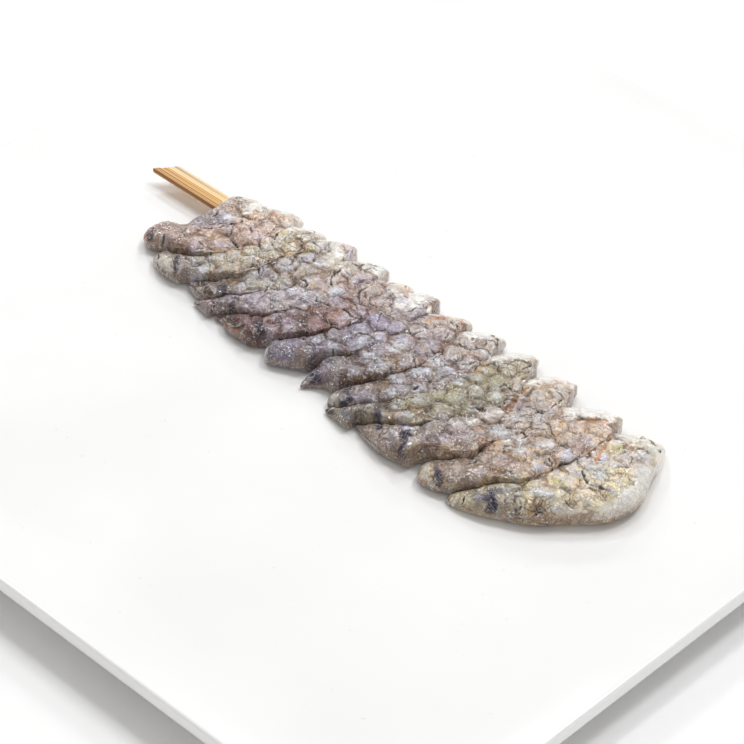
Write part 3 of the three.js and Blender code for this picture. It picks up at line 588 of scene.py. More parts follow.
def make_lumps(spine, number):
    """Lumps of muscle, in rows along a body: plan place, radius and height of each."""
    lumps = []
    rows = math.floor((spine["length"] - LUMP_START - SMOOTH_TAIL) / LUMP_PITCH)
    for row in range(rows + 1):
        s = LUMP_START + row * LUMP_PITCH
        half = float(along(spine["half"], np.array([s / spine["length"]]))[0])
        across, spacing = (3, TRIO_SPACING) if half > WIDE_BODY else (2, PAIR_SPACING)
        for column in range(across):
            seed = number * 100 + row * 4 + column
            stagger = (column % 2) * LUMP_PITCH * LUMP_STAGGER
            station = np.array([s + (draw(seed, 1) - 0.5) * LUMP_STRAY + stagger])
            forward = at_length(spine, spine["slope"], station)[0]
            even = (column - (across - 1) / 2) * spacing
            aside = half * (even + (draw(seed, 2) - 0.5) * LUMP_ASIDE)
            place = at_length(spine, spine["fine"], station)[0] + aside * np.array([-forward[1], forward[0]])
            radius = LUMP_RADIUS * mix(0.85, 1.2, draw(seed, 3))
            lumps.append((*place, radius, LUMP_HEIGHT * mix(0.65, 1.15, draw(seed, 4))))
    return np.array(lumps)


def waved(places):
    """Plan places shifted by a wave that all prawns share, so that their seams and lumps wander."""
    level = np.concatenate([places, np.zeros(places.shape[:-1] + (1,))], axis=-1)
    shift = [noise(level, WANDER_LENGTH, 501 + k) + 0.3 * noise(level, 1.3, 511 + k) for k in range(2)]
    return places + WANDER * np.stack(shift, axis=-1)


def share(spine, places):
    """How far plan places are from a spine, in half widths of that prawn."""
    flat = places.reshape(-1, 1, 2)
    apart = np.hypot(flat[..., 0] - spine["samples"][:, 0], flat[..., 1] - spine["samples"][:, 1])
    return (apart / spine["sample_half"]).min(axis=1).reshape(places.shape[:-1])


def soften(values, width):
    """Values smoothed along a line of rings."""
    reach = math.ceil(3 * width)
    kernel = np.exp(-0.5 * (np.arange(-reach, reach + 1) / width) ** 2)
    padded = np.pad(values, reach, mode="edge")
    return np.convolve(padded, kernel / kernel.sum(), mode="valid")


def reach_to(spine, neighbours, middle, sideways, half, pressable):
    """Reach to one side of the spine: its own width, or as far as a neighbour that lies near."""
    steps = np.linspace(0, 1, REACH_STEPS)
    widest, farthest = half * SQUEEZE, half * CLOSE_UP
    distance = steps[None, :] * farthest[:, None]
    places = waved(middle[:, None, :] + sideways[:, None, :] * distance[..., None])
    clear = np.min([share(other, places) for other in neighbours], axis=0) - share(spine, places)
    blocked = clear <= 0
    first = np.where(blocked.any(axis=1), blocked.argmax(axis=1), len(steps) - 1)
    rows = np.arange(len(half))
    before = np.maximum(first - 1, 0)
    c0, c1 = clear[rows, before], clear[rows, first]
    share_of_step = np.clip(c0 / np.maximum(c0 - c1, 1e-6), 0, 1)
    edge = mix(distance[rows, before], distance[rows, first], share_of_step)
    edge = np.where(blocked.any(axis=1), edge, farthest)
    pressed = smoothstep(CLOSE_UP, SURELY_CLOSE, edge / np.maximum(half, 1e-6)) * pressable
    reach = np.minimum(edge, mix(widest, edge, pressed)) + OVERLAP * (2 * pressed - 1)
    return soften(np.maximum(reach, 0.02), 1.5), soften(pressed, 2)


def end_round(spine, s):
    """Roundness of the two ends: 1 along the body, falling to 0 at the tips."""
    head = np.minimum(1, s / HEAD_TAPER)
    tail = np.minimum(1, (spine["length"] - s) / spine["taper"])
    return np.sqrt(1 - (1 - head) ** 2) * np.sqrt(1 - (1 - tail) ** 2)


def pressing(spine, s):
    """How far neighbours press a body flat: not at its head end, and less and less towards its tail."""
    return smoothstep(PRESS_START, PRESS_FULL, s) * smoothstep(0, ROUND_TAIL, 1 - s / spine["length"])


def fan_length(side):
    """Length of the head end's thin fan, at places across the body from -1 to 1."""
    return mix(FAN_LEFT, FAN_RIGHT, (side + 1) / 2)


def back_height(spine, s, side):
    """Height of the back before its lumps, with the thin fan at the head end."""
    body = along(spine["high"], s / spine["length"])
    fan = fan_length(side)
    return mix(np.minimum(body, FAN_HEIGHT), body, smoothstep(fan - FAN_FADE, fan, s))


def ring_frame(spine, neighbours):
    """Every ring's place, direction across, length along the body and reach to both sides."""
    # Rings stand closer together towards both ends
    even = (np.arange(RINGS) + 0.5) / RINGS
    s = spine["length"] * mix(even, (1 - np.cos(even * math.pi)) / 2, 0.5)
    middle = at_length(spine, spine["fine"], s)
    forward = at_length(spine, spine["slope"], s)
    forward /= np.linalg.norm(forward, axis=1, keepdims=True)
    sideways = np.stack([-forward[:, 1], forward[:, 0]], axis=1)
    rounding = end_round(spine, s)
    half = along(spine["half"], s / spine["length"]) * rounding
    pressable = pressing(spine, s)
    left, left_pressed = reach_to(spine, neighbours, middle, -sideways, half, pressable)
    right, right_pressed = reach_to(spine, neighbours, middle, sideways, half, pressable)
    return s, middle, sideways, rounding, (left, right), (left_pressed, right_pressed)


def ring_sides():
    """Places across a body from -1 to 1, over its top and back below it, for every ring."""
    top = -np.cos(np.arange(TOP_STEPS + 1) / TOP_STEPS * math.pi)
    under = -np.cos(np.arange(UNDER_STEPS, -1, -1) / UNDER_STEPS * math.pi)
    return np.concatenate([top, under])[None, :].repeat(RINGS, axis=0)


def section_heights(height, side, pressed):
    """Heights of a body's top and of its underside, and how near its top is to the crest."""
    shoulder = height * mix(FREE_SHOULDER, PRESSED_SHOULDER, pressed)
    crown = np.sqrt(np.clip(1 - np.abs(side) ** mix(CREST_FREE, CREST_PRESSED, pressed), 0, 1))
    edge = height * mix(LOW_EDGE_FREE, LOW_EDGE_PRESSED, pressed)
    low = REST + edge * (1 - np.sqrt(np.clip(1 - np.abs(side) ** UNDER_CREST, 0, 1)))
    return REST + shoulder + (height - shoulder) * crown, low, crown


def lump_relief(lumps, plan):
    """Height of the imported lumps, the creases between them and how near each place is to a middle."""
    places = waved(plan)
    near = np.hypot(places[..., 0, None] - lumps[:, 0], places[..., 1, None] - lumps[:, 1]) / lumps[:, 2]
    nearest = near.argmin(axis=-1)
    order = np.partition(near, 1, axis=-1)
    dome = np.clip(1 - np.minimum(order[..., 0], 1) ** 2, 0, 1) ** 0.75
    edge = order[..., 1] - order[..., 0]
    crease = smoothstep(0.09, 0.02, edge) * smoothstep(1.3, 0.9, order[..., 0])
    height = lumps[nearest, 3] * dome * smoothstep(-0.1, 0.45, edge)
    return height, crease, smoothstep(0.95, 0.15, order[..., 0])


def flesh_relief(lumps, body, fleshy):
    """Lift of the flesh by its lumps and unevenness, its creases, its folds and its nearness to the lumps'
    middles.
    """
    points = body.points
    relief, crease, lump_middle = lump_relief(lumps, points[..., :2])
    fan = smoothstep(FAN_LEFT + 1, FAN_LEFT - 3, body.depth)
    crease = crease * fleshy * (1 - fan) * patches(points, -0.15, 0.35, 2.9, 11)
    winding = smoothstep(0.1, 0, np.abs(noise(points, 2.6, FLESH_SEED + 12)))
    folds = winding * patches(points, -0.1, 0.4, 5, 13) * mix(0.4, 1, fleshy) * (1 - fan)
    small = noise(points, 2.2, FLESH_SEED + 14) * 0.22 * mix(0.4, 1, fleshy)
    small = small + noise(points, 1.0, FLESH_SEED + 15) * 0.14
    lift = (relief * (1 - fan * 0.7) + small) * mix(0.5, 1, body.crown)
    return (lift - crease * 0.3 - folds * 0.2) * body.rounding * body.on_top, crease, folds, lump_middle


def base_tone(spine, neighbours, body):
    """Plain colour of a body, darker at its tail, that runs into a neighbour's where they are pressed."""
    places = waved(body.points[..., :2])
    own = share(spine, places)
    tone = np.ones(body.points.shape) * np.array(spine["tone"])
    for other in neighbours:
        nearness = smoothstep(0.45, 0, share(other, places) - own) * body.pressed
        tone = mix(tone, np.array(other["tone"]), 0.5 * nearness[..., None])
    mean = tone.mean(axis=-1, keepdims=True)
    tone = mean + (tone - mean) * TONE_DEPTH
    return tone * (1 - TAIL_SHADE * smoothstep(0.45, 0.8, body.depth / spine["length"]))[..., None]


def flesh_tone(base, body, lump_middle, crease, folds):
    """Colour of the flesh before its marks: mottled, with a painted sheen on the lumps, and browner with
    painted shade between them and in their creases.
    """
    rim = smoothstep(0.7, 0.95, body.flank) * body.on_top * body.free
    masks = body.depth, lump_middle, crease, folds, rim
    depth, lump_middle, crease, folds, rim = (mask[..., None] for mask in masks)
    points = body.points[..., None, :]
    tone = base * (1 + 0.12 * layered_noise(points, 4.5, FLESH_SEED + 17))
    tone = tone * (1 + noise(points, 6, FLESH_SEED + 18) * WARM_TINT)
    toward_head = smoothstep(26, 3, depth)
    tone = mix(tone, HEAD_CREAM, toward_head * 0.55)
    # Painted sheen: the middles of the lumps lighter and bluish-white
    painted_sheen = lump_middle * patches(points, -0.5, 0.4, 1.5, 19) * patches(points, -0.7, 0.35, 7, 26)
    tone = mix(tone, mix(LUMP_SHEEN, HEAD_LUMP_SHEEN, toward_head), 0.62 * painted_sheen)
    # Painted shade darkens the flesh between the lumps
    between = smoothstep(0.35, 0.0, lump_middle) * patches(points, -0.6, 0.3, 5, 27)
    tone = tone * (1 - between * HOLLOW_SHADE)
    stain = rim * smoothstep(4, 8, depth) * smoothstep(22, 14, depth) * patches(points, -0.2, 0.5, 4, 22)
    tone = mix(tone, STAIN, 0.6 * stain)
    tone = mix(tone, GOLDEN, 0.4 * between * patches(points, 0.15, 0.6, 4.2, 24))
    tone = mix(tone, tone * VIOLET_TINT, 0.7 * patches(points, 0.2, 0.6, 5.2, 25))
    # Painted shade in the carved creases between lumps and in the carved folds
    dark = np.maximum(crease * 0.95, folds * 0.8) * patches(points, -0.6, 0.2, 1.6, 20)
    return mix(base * (tone / base) ** TONE_CONTRAST, CREASE_SHADE, dark)


def stroke_distance(u, v, stroke):
    """Distance in mm from plan places to a line through points, or to a single point."""
    if len(stroke) == 1:
        return np.hypot(u - stroke[0][0], v - stroke[0][1])
    least = np.full(u.shape, np.inf)
    for (x0, y0), (x1, y1) in zip(stroke, stroke[1:]):
        dx, dy = x1 - x0, y1 - y0
        t = np.clip(((u - x0) * dx + (v - y0) * dy) / (dx * dx + dy * dy), 0, 1)
        least = np.minimum(least, np.hypot(u - x0 - t * dx, v - y0 - t * dy))
    return least


def add_marks(marks, body, tone, lift):
    """Paints and presses the measured marks into a prawn's tone and height."""
    points, on_top = body.points, body.on_top
    crown = body.crown * body.rounding
    above = points[..., 2] + lift - MARK_LEVEL
    u = points[..., 0] + MARK_SHEAR[0] * above
    v = points[..., 1] + MARK_SHEAR[1] * above
    wander = [noise(points, 1.9, 901 + k) + 0.7 * noise(points, 0.7, 911 + k) for k in range(2)]
    uneven = mix(0.6, 1, smoothstep(-0.7, 0.2, noise(points, 1.3, 921)))
    ragged = 1 + 0.45 * noise(points, 1.1, 931)
    plain = np.zeros(u.shape)
    for kind, plain_width, *stroke in marks:
        mark = MARKS[kind]
        width = plain_width * ragged * mark["scale"]
        away = stroke_distance(u + wander[0] * mark["wander"], v + wander[1] * mark["wander"], stroke)
        # Lip: a pale rim painted as a highlight beside a line or crack
        if mark["lip"]:
            lip = smoothstep(width + 0.9, width + 0.2, away) * on_top * mark["lip"] * uneven
            tone = mix(tone, LIP_HIGHLIGHT, lip[..., None])
        mask = smoothstep(width, width * (1 - mark["soft"]), away) * on_top
        plain = np.maximum(plain * (1 - mask), mask * mark["plain"])
        amount = mask * mark["strength"] * (uneven if plain_width < THIN_MARK else 1)
        tone = mix(tone, mark["colour"], amount[..., None])
        lift = lift + mask * mark["relief"] * crown
    return tone, lift, plain


def body_shape(spine, neighbours):
    """A body before its lumps: its ring points in mm, and what holds at each of them."""
    s, middle, sideways, rounding, reaches, presses = ring_frame(spine, neighbours)
    side = ring_sides()
    depth = s[:, None].repeat(side.shape[1], axis=1)
    rounding = rounding[:, None]
    on_top = np.arange(side.shape[1])[None, :] <= TOP_STEPS
    reach = np.where(side < 0, reaches[0][:, None], reaches[1][:, None])
    pressed = np.where(side < 0, presses[0][:, None], presses[1][:, None])
    plan = middle[:, None, :] + sideways[:, None, :] * (side * reach)[..., None]
    height = back_height(spine, depth, side) * mix(THIN_TIP, 1, rounding)
    high, low, crown = section_heights(height, side, pressed)
    return SimpleNamespace(
        points=np.concatenate([plan, np.where(on_top, high, low)[..., None]], axis=-1),
        side=side,
        flank=np.abs(side),
        depth=depth,
        on_top=on_top,
        pressed=pressed,
        free=1 - pressed,
        crown=crown,
        rounding=rounding,
    )


def fan_and_lit_edges(body):
    """How pale a body is towards its thin fan, with painted light on the free edges behind it."""
    fan = smoothstep(fan_length(body.side) + 5, 2.5, body.depth)
    painted_lit_edges = smoothstep(15, 9, body.depth) * smoothstep(0.5, 0.8, body.flank) * body.free
    return np.maximum(fan, painted_lit_edges)


def prawn_surface(spine, neighbours):
    """Ring points of a prawn in mm, its colour, and how plain its flesh is, point by point."""
    body = body_shape(spine, neighbours)
    tail_start = spine["length"] - SMOOTH_TAIL
    fleshy = smoothstep(tail_start + 3, tail_start - 3, body.depth)
    lumps = np.concatenate([other["lumps"] for other in neighbours + [spine]])
    lift, crease, folds, lump_middle = flesh_relief(lumps, body, fleshy)
    base = base_tone(spine, neighbours, body)
    tone = flesh_tone(base, body, mix(0.3, lump_middle, fleshy), crease, folds)
    pale = fan_and_lit_edges(body)
    # The fan's own white, with painted light on the free edges behind it
    tone = mix(tone, FAN_AND_LIT_EDGE_WHITE, 0.9 * pale[..., None])
    marks = sum((other["marks"] for other in neighbours), []) + spine["marks"]
    tone, lift, plain = add_marks(marks, body, tone, lift)
    plain = np.maximum(plain, np.maximum(0.9 * pale, 0.35 * lump_middle * fleshy))
    foot = smoothstep(0.9, 1.0, body.flank) * body.free * smoothstep(10, 18, body.depth)
    tone = mix(tone, FOOT_BROWN, 0.45 * (foot * (1 - plain))[..., None])
    body.points[..., 2] += lift
    return body.points, tone, plain


def mesh_object(name, points, faces, smooth=True):
    mesh = bpy.data.meshes.new(name)
    mesh.from_pydata(points, [], faces)
    mesh.update()
    mesh.polygons.foreach_set("use_smooth", [smooth] * len(mesh.polygons))
    piece = bpy.data.objects.new(name, mesh)
    bpy.context.scene.collection.objects.link(piece)
    return piece


def with_poles(rings):
    """All points of the rings, between a pole in the middle of the first and one of the last ring."""
    return np.concatenate([[rings[0].mean(axis=0)], rings.reshape(-1, 3), [rings[-1].mean(axis=0)]])


def ring_faces(rings, count):
    """Faces of a closed surface through rings of points, with a pole at each end."""
    ring, step = np.meshgrid(np.arange(rings - 1), np.arange(count), indexing="ij")
    a = 1 + ring * count + step
    b = 1 + ring * count + (step + 1) % count
    quads = np.stack([a, a + count, b + count, b], axis=-1).reshape(-1, 4)
    last = 1 + rings * count
    first_fan = [(0, 1 + k, 1 + (k + 1) % count) for k in range(count)]
    start = 1 + (rings - 1) * count
    last_fan = [(last, start + (k + 1) % count, start + k) for k in range(count)]
    return [tuple(q) for q in quads.tolist()] + first_fan + last_fan


def colour_attribute(mesh, name, colours):
    """Keeps a colour for every point of a mesh, for its material to read."""
    attribute = mesh.color_attributes.new(name=name, type="FLOAT_COLOR", domain="POINT")
    values = np.column_stack([colours, np.ones(len(colours))])
    attribute.data.foreach_set("color", values.astype(np.float32).ravel())


def build_prawn(spines, index):
    spine = spines[index]
    neighbours = [spines[k] for k in (index - 1, index + 1) if 0 <= k < len(spines)]
    points, tone, plain = prawn_surface(spine, neighbours)
    name = f"prawn_{index + 1:02d}"
    flat = with_poles(points) * MM
    piece = mesh_object(f"{name}_flesh", flat.tolist(), ring_faces(*points.shape[:2]))
    colours = np.concatenate([[tone[0, 0]], tone.reshape(-1, 3), [tone[-1, 0]]])
    plains = np.concatenate([[0], plain.ravel(), [0]])
    colour_attribute(piece.data, "tone", linear(colours.clip(0, 1)))
    colour_attribute(piece.data, "plain", np.column_stack([plains] * 3))
    piece.data.materials.append(flesh_material())
    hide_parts(name)
    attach(piece, "root")


class Nodes:
    """A small helper that makes and joins the shader nodes of one material."""

    def __init__(self, name):
        self.material = bpy.data.materials.new(name)
        self.material.use_nodes = True
        self.tree = self.material.node_tree
        self.shader = self.tree.nodes["Principled BSDF"]
        self.place = self.add("ShaderNodeNewGeometry").outputs["Position"]

    def fill(self, node, inputs):
        for key, value in inputs.items():
            if isinstance(value, bpy.types.NodeSocket):
                self.tree.links.new(value, node.inputs[key])
            else:
                node.inputs[key].default_value = value

    def add(self, kind, inputs=None, **settings):
        node = self.tree.nodes.new(kind)
        for key, value in settings.items():
            setattr(node, key, value)
        self.fill(node, inputs or {})
        return node

    def mix_colour(self, factor, a, b, blend="MIX"):
        node = self.add("ShaderNodeMix", data_type="RGBA", blend_type=blend)
        self.fill(node, {0: factor, 6: a, 7: b})
        return node.outputs[2]

    def calculate(self, operation, a, b):
        return self.add("ShaderNodeMath", {0: a, 1: b}, operation=operation).outputs[0]

    def spread(self, value, low, high, to_low, to_high):
        inputs = {"Value": value, "From Min": low, "From Max": high, "To Min": to_low, "To Max": to_high}
        return self.add("ShaderNodeMapRange", inputs).outputs[0]

    def grain(self, scale, detail=3, distortion=0.0, output="Fac"):
        """Noise with this many features in a metre."""
        inputs = {"Vector": self.place, "Scale": scale, "Detail": detail, "Distortion": distortion}
        return self.add("ShaderNodeTexNoise", inputs).outputs[output]

    def attribute(self, name, output):
        return self.add("ShaderNodeAttribute", attribute_name=name).outputs[output]

    def bump(self, height, strength, depth, normal=None):
        inputs = {"Height": height, "Strength": strength, "Distance": depth * MM}
        if normal:
            inputs["Normal"] = normal
        return self.add("ShaderNodeBump", inputs).outputs["Normal"]

    def set(self, **values):
        """Sets or links inputs of the shader, named with _ for each space."""
        self.fill(self.shader, {name.replace("_", " "): value for name, value in values.items()})


def shared(make):
    """Makes a material once and hands out the same one afterwards."""
    made = []

    def get():
        if not made:
            made.append(make())
        return made[0]

    return get


def flesh_speckle(n, tone):
    """The flesh's tone with clouds, fine brown veins, painted shade and highlights along winding wrinkles,
    and painted glints.
    """
    cloud = n.spread(n.grain(430, 4), 0.3, 0.7, 0.72, 1.22)
    fine = n.spread(n.grain(1500), 0.3, 0.7, 0.74, 1.24)
    speckled = n.mix_colour(1.0, tone, n.calculate("MULTIPLY", cloud, fine), "MULTIPLY")
    swirl = n.grain(600, 2, output="Color")
    bent = n.add("ShaderNodeMixRGB", {0: 0.0014, 1: n.place, 2: swirl}, blend_type="ADD").outputs[0]
    veins = n.add("ShaderNodeTexVoronoi", {"Vector": bent, "Scale": 640}, feature="DISTANCE_TO_EDGE")
    vein = n.spread(veins.outputs["Distance"], 0.02, 0.13, 0.8, 0.0)
    vein = n.calculate("MULTIPLY", vein, n.spread(n.grain(300, 2), 0.4, 0.56, 0.15, 1.0))
    speckled = n.mix_colour(vein, speckled, (0.13, 0.09, 0.08, 1))
    folded = n.calculate("PINGPONG", n.grain(260, 1, 1.4), 0.1)
    # Painted shade in the troughs of the bumped folds
    fold_shade = n.spread(folded, 0.005, 0.028, 0.9, 0)
    fold_shade = n.calculate("MULTIPLY", fold_shade, n.spread(n.grain(190, 2), 0.48, 0.6, 0, 1))
    speckled = n.mix_colour(fold_shade, speckled, (0.1, 0.065, 0.055, 1))
    glint_white = (0.86, 0.87, 0.9, 1)
    # Painted highlight on the crests of the folds
    speckled = n.mix_colour(n.spread(folded, 0.08, 0.1, 0, 0.35), speckled, glint_white)
    # Painted glints: small white spots standing in for sparkles of light
    glints = n.spread(n.grain(1600, 1), 0.6, 0.67, 0, 0.8)
    glints = n.calculate("MULTIPLY", glints, n.spread(n.grain(260, 2), 0.52, 0.62, 0, 1))
    return n.mix_colour(glints, speckled, glint_white), folded


@shared
def flesh_material():
    """Wet raw prawn: mottled, speckled, slightly see-through flesh."""
    n = Nodes("wet_flesh")
    tone = n.attribute("tone", "Color")
    plain = n.attribute("plain", "Fac")
    speckled, folded = flesh_speckle(n, tone)
    wrinkled = n.spread(plain, 0, 1, 1, 0.2)
    normal = None
    for height, depth in ((n.grain(1300, 2, 0.6), 0.2), (n.grain(560, 2, 0.6), 0.4), (folded, 1.2)):
        normal = n.bump(height, wrinkled, depth, normal)
    n.set(
        Base_Color=n.mix_colour(n.spread(plain, 0, 1, 0, 0.9), speckled, tone),
        Roughness=n.spread(n.grain(900), 0.3, 0.7, 0.25, 0.5),
        IOR=1.38,
        Subsurface_Weight=n.spread(plain, 0.6, 0.9, 0.15, 0.9),
        Subsurface_Radius=(1.0, 0.8, 0.65),
        Subsurface_Scale=1.5 * MM,
        Coat_Weight=n.spread(tone, 0.02, 0.25, 0.1, 1),
        Coat_Roughness=0.04,
        Coat_IOR=1.5,
        Normal=normal,
        Coat_Normal=normal,
    )
    return n.material


@shared
def glaze_material():
    """White glazed porcelain with a faint unevenness in the glaze."""
    n = Nodes("white_glaze")
    cloud = n.grain(18)
    body = n.mix_colour(n.spread(cloud, 0.35, 0.65, 0, 1), (0.9, 0.9, 0.9, 1), (0.93, 0.93, 0.925, 1))
    dots = n.spread(n.grain(520, 1), 0.77, 0.8, 0, 0.25)
    n.set(
        Base_Color=n.mix_colour(dots, body, (0.62, 0.6, 0.57, 1)),
        Roughness=n.spread(cloud, 0.35, 0.65, 0.12, 0.2),
        Coat_Weight=0.6,
        Coat_Roughness=0.06,
        Normal=n.bump(n.grain(60, 2), 0.12, 0.3),
    )
    return n.material


@shared
def bamboo_material():
    """Split bamboo: pale straw with fine darker fibres along the strip."""
    n = Nodes("split_bamboo")
    place = n.add("ShaderNodeTexCoord").outputs["Object"]
    run = n.add("ShaderNodeMapping", {"Vector": place, "Rotation": (0, 0, -STICK_YAW)}).outputs[0]

    def fibre(across, lengthwise, detail=3):
        squeezed = n.add("ShaderNodeMapping", {"Vector": run, "Scale": (lengthwise, across, across)})
        inputs = {"Vector": squeezed.outputs[0], "Scale": 1.0, "Detail": detail}
        return n.add("ShaderNodeTexNoise", inputs).outputs["Fac"]

    light = n.spread(fibre(1600, 14), 0.3, 0.7, 0.72, 1.2)
    grained = n.mix_colour(1.0, n.attribute("tone", "Color"), light, "MULTIPLY")
    dark = n.spread(fibre(1300, 9, 2), 0.6, 0.68, 0, 0.6)
    n.set(
        Base_Color=n.mix_colour(dark, grained, (0.25, 0.11, 0.035, 1)),
        Roughness=n.spread(fibre(900, 30), 0.3, 0.7, 0.42, 0.62),
        Normal=n.bump(fibre(1500, 16, 2), 0.5, 0.25),
    )
    return n.material


@shared
def floor_material():
    """Pale studio floor with a barely uneven tone."""
    n = Nodes("pale_floor")
    n.set(
        Base_Color=n.mix_colour(n.grain(6, 2), (0.95, 0.95, 0.95, 1), (0.969, 0.969, 0.969, 1)),
        Roughness=0.6,
    )
    return n.material


def square_ring(half_side, radius, z, steps=14):
    """Points of a square with round corners, all at one height."""
    ring = []
    reach = (half_side - radius) * math.sqrt(2)
    for corner in range(4):
        middle = (corner + 0.5) * math.pi / 2
        for step in range(steps + 1):
            angle = (corner + step / steps) * math.pi / 2
            x = math.cos(middle) * reach + math.cos(angle) * radius
            y = math.sin(middle) * reach + math.sin(angle) * radius
            ring.append((x, y, z))
    return ring


def dish_section():
    """The dish's section as (distance in from the side, height), from under its middle to its floor."""
    outer = (DISH_SIDE - FOOT_SIDE) / 2
    inner = outer + FOOT_WIDTH
    band = RIM_TOP - RIM_BAND
    section = [(110, UNDERSIDE), (80, UNDERSIDE), (inner + 2, UNDERSIDE), (inner + 0.7, UNDERSIDE - 0.15)]
    section += [(inner, UNDERSIDE - 0.7), (inner - 0.25, 0.45), (inner - 0.7, 0.0)]
    section += [(outer + 0.7, 0.0), (outer + 0.25, 0.45), (outer, UNDERSIDE - 0.7)]
    section += [(outer - 0.7, UNDERSIDE - 0.15), (outer - 2, UNDERSIDE), (LIP_ROUND * 3, band - 0.3)]
    for angle in np.radians(np.linspace(-75, 0, 7)):
        section.append((LIP_ROUND * (1 - math.cos(angle)), band + LIP_ROUND * (1 + math.sin(angle))))
    for angle in np.radians(np.linspace(0, 105, 13)[1:]):
        section.append((LIP_ROUND * (1 - math.cos(angle)), RIM_TOP - LIP_ROUND * (1 - math.sin(angle))))
    for t in np.linspace(0, 1, 15)[1:]:
        height = mix(FLOOR_TOP, RIM_TOP - 0.06, (1 - t) ** SLOPE_CURVE)
        section.append((mix(LIP_ROUND * 1.4, SLOPE_WIDTH, t), height))
    return section + [(60, FLOOR_TOP), (100, FLOOR_TOP)]


def build_dish():
    rings = np.array([
        square_ring(DISH_SIDE / 2 - inset, max(2.5, DISH_CORNER - inset * 0.1), z)
        for inset, z in dish_section()
    ])
    faces = [tuple(reversed(face)) for face in ring_faces(*rings.shape[:2])]
    dish = mesh_object("glazed_dish", (with_poles(rings) * MM).tolist(), faces)
    dish.data.materials.append(glaze_material())
    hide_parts("dish")
    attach(dish, "root")


def stick_tone(rings):
    """Straw that deepens to brown towards the near edge, with a few dark lines along it."""
    across = rings[..., 1] / (STICK_WIDTH / 2)
    tone = np.ones(rings.shape) * np.array([0.93, 0.83, 0.66])
    wave = 0.045 * noise(rings * np.array([0.12, 0.2, 0.2]), 1, 61)
    tone = mix(tone, np.array([0.95, 0.78, 0.5]), smoothstep(0.3, -0.6, across)[..., None])
    tone = mix(tone, np.array([0.99, 0.93, 0.8]), smoothstep(0.75, 0.95, across)[..., None])
    handle_wear = smoothstep(STICK_START + 34, STICK_START + 14, rings[..., 0])
    tone = mix(np.array([0.93, 0.7, 0.33]), tone, handle_wear[..., None])
    for line, width, strength in STICK_LINES:
        worn = smoothstep(-0.9, 0.4, noise(rings * np.array([0.2, 0.1, 0.1]), 1, round(70 + line * 9)))
        mask = smoothstep(width * 1.3, width * 0.6, np.abs(across + wave - line)) * strength * worn
        tone = mix(tone, np.array([0.3, 0.14, 0.04]), mask[..., None])
    side = np.abs(rings[..., 2]) < STICK_THICK * 0.4
    streak = smoothstep(-0.4, 0.5, noise(rings * np.array([0.1, 0.2, 1.7]), 1, 65))
    side_tone = mix(np.array([0.86, 0.66, 0.42]), np.array([0.6, 0.38, 0.2]), streak[..., None])
    return np.where(side[..., None], side_tone, tone)


def stick_section():
    """Points round the stick's section, with cut corners and many points on the flat faces."""
    section = []
    corners = STICK_WIDTH / 2 * np.array([1, -1, -1, 1]), STICK_THICK / 2 * np.array([1, 1, -1, -1])
    corners = np.column_stack(corners)
    for start, end, steps in zip(corners, np.roll(corners, -1, axis=0), (60, 5, 60, 5)):
        way = (end - start) / np.linalg.norm(end - start)
        first, last = start + way * STICK_BEVEL, end - way * STICK_BEVEL
        section += [mix(first, last, t) for t in np.linspace(0, 1, steps)]
    return np.array(section)


def stick_rings():
    """Rings along the stick before it is turned and set down, with a frayed end and grooved faces."""
    section = stick_section()
    across, up = section.T
    start = STICK_START + STICK_SLANT * (across / STICK_WIDTH + 0.5)
    frayed = 0.25 * noise(np.column_stack([section, np.zeros(len(section))]), 0.5, 71)
    # Every ring's share of the way along, and how much it frays
    stations = [(0, 1), (0.0015, 0.55)] + [(place, 0) for place in np.linspace(0.4, 1, 160)]
    rings = np.array([
        np.column_stack([mix(start, STICK_END, place) + frayed * fray, across, up])
        for place, fray in stations
    ])
    groove = noise(rings * np.array([0.02, 1, 1]), 0.55, 41) * 0.09
    groove += noise(rings * np.array([0.05, 1, 1]), 0.25, 43) * 0.04
    outward = np.sign(rings[..., 2]) * (np.abs(rings[..., 2]) > STICK_THICK * 0.49)
    rings[..., 2] += (groove - 0.12) * outward
    rings[:2, :, 1:] *= np.array([0.97, 0.9])
    return rings


def build_stick():
    """A closed strip, turned about its pivot and pushed through the prawns."""
    rings = stick_rings()
    tone = linear(stick_tone(rings)).reshape(-1, 3)
    cosine, sine = math.cos(STICK_YAW), math.sin(STICK_YAW)
    x, y = rings[..., 0] - STICK_PIVOT_X, rings[..., 1]
    placed = np.stack([
        STICK_PIVOT_X + x * cosine - y * sine,
        STICK_MIDDLE_Y + x * sine + y * cosine,
        rings[..., 2] + STICK_TOP - STICK_THICK / 2,
    ], axis=-1)
    points = with_poles(placed) * MM
    stick = mesh_object("bamboo_strip", points.tolist(), ring_faces(*placed.shape[:2]))
    colour_attribute(stick.data, "tone", np.concatenate([tone[:1], tone, tone[-1:]]))
    stick.data.materials.append(bamboo_material())
    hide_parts("bamboo_stick")
    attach(stick, "root")


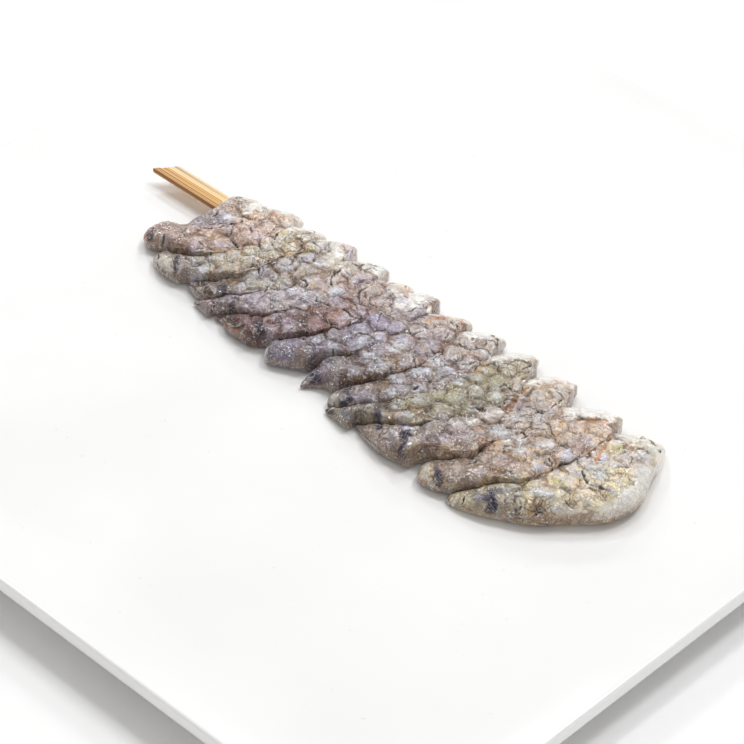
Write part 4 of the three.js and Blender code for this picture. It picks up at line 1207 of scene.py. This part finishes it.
def build_floor():
    side = 6.0
    corners = [(-side, -side, 0), (side, -side, 0), (side, side, 0), (-side, side, 0)]
    floor = mesh_object("floor", corners, [(0, 1, 2, 3)], smooth=False)
    floor.data.materials.append(floor_material())


def area_light(name, place, size, power, colour=(1, 1, 1)):
    """A lamp at a place in metres that faces the middle of the dish."""
    light = bpy.data.lights.new(name, "AREA")
    light.shape = "RECTANGLE"
    light.size, light.size_y = size
    light.energy = power
    light.color = colour
    lamp = bpy.data.objects.new(name, light)
    bpy.context.scene.collection.objects.link(lamp)
    lamp.location = place
    lamp.rotation_euler = (-Vector(place)).to_track_quat("-Z", "Y").to_euler()


def build_light():
    world = bpy.data.worlds.new("studio")
    bpy.context.scene.world = world
    world.use_nodes = True
    background = world.node_tree.nodes["Background"]
    background.inputs["Color"].default_value = WORLD_COLOUR
    background.inputs["Strength"].default_value = WORLD_STRENGTH
    for lamp in LAMPS:
        area_light(*lamp)
    middle = Vector(SPARK_MIDDLE).normalized()
    tilted = middle.copy()
    tilted.rotate(Quaternion((1, 1, 0), SPARK_TILT))
    for k in range(SPARK_LAMPS):
        place = tilted.copy()
        place.rotate(Quaternion(middle, k * math.tau / SPARK_LAMPS))
        area_light(f"spark_{k}", place * SPARK_DISTANCE, SPARK_SIZE, SPARK_POWER)
    view = bpy.context.scene.view_settings
    view.view_transform = "Standard"
    view.look = "None"
    view.exposure = 0.0


def build_camera():
    """The camera at the photograph's viewing angle."""
    data = bpy.data.cameras.new("camera")
    data.sensor_width = CAMERA_SENSOR
    data.lens = CAMERA_LENS
    data.clip_start, data.clip_end = 0.01, 20
    camera = bpy.data.objects.new("camera", data)
    bpy.context.scene.collection.objects.link(camera)
    camera.location = Vector(CAMERA_PLACE) * MM
    forward = Vector(CAMERA_FORWARD).normalized()
    camera.rotation_euler = forward.to_track_quat("-Z", "Y").to_euler()
    bpy.context.scene.camera = camera


build_floor()
build_dish()
build_stick()
spines = [make_spine(prawn, index + 1) for index, prawn in enumerate(PRAWNS)]
for index in range(len(spines)):
    build_prawn(spines, index)
build_camera()
build_light()
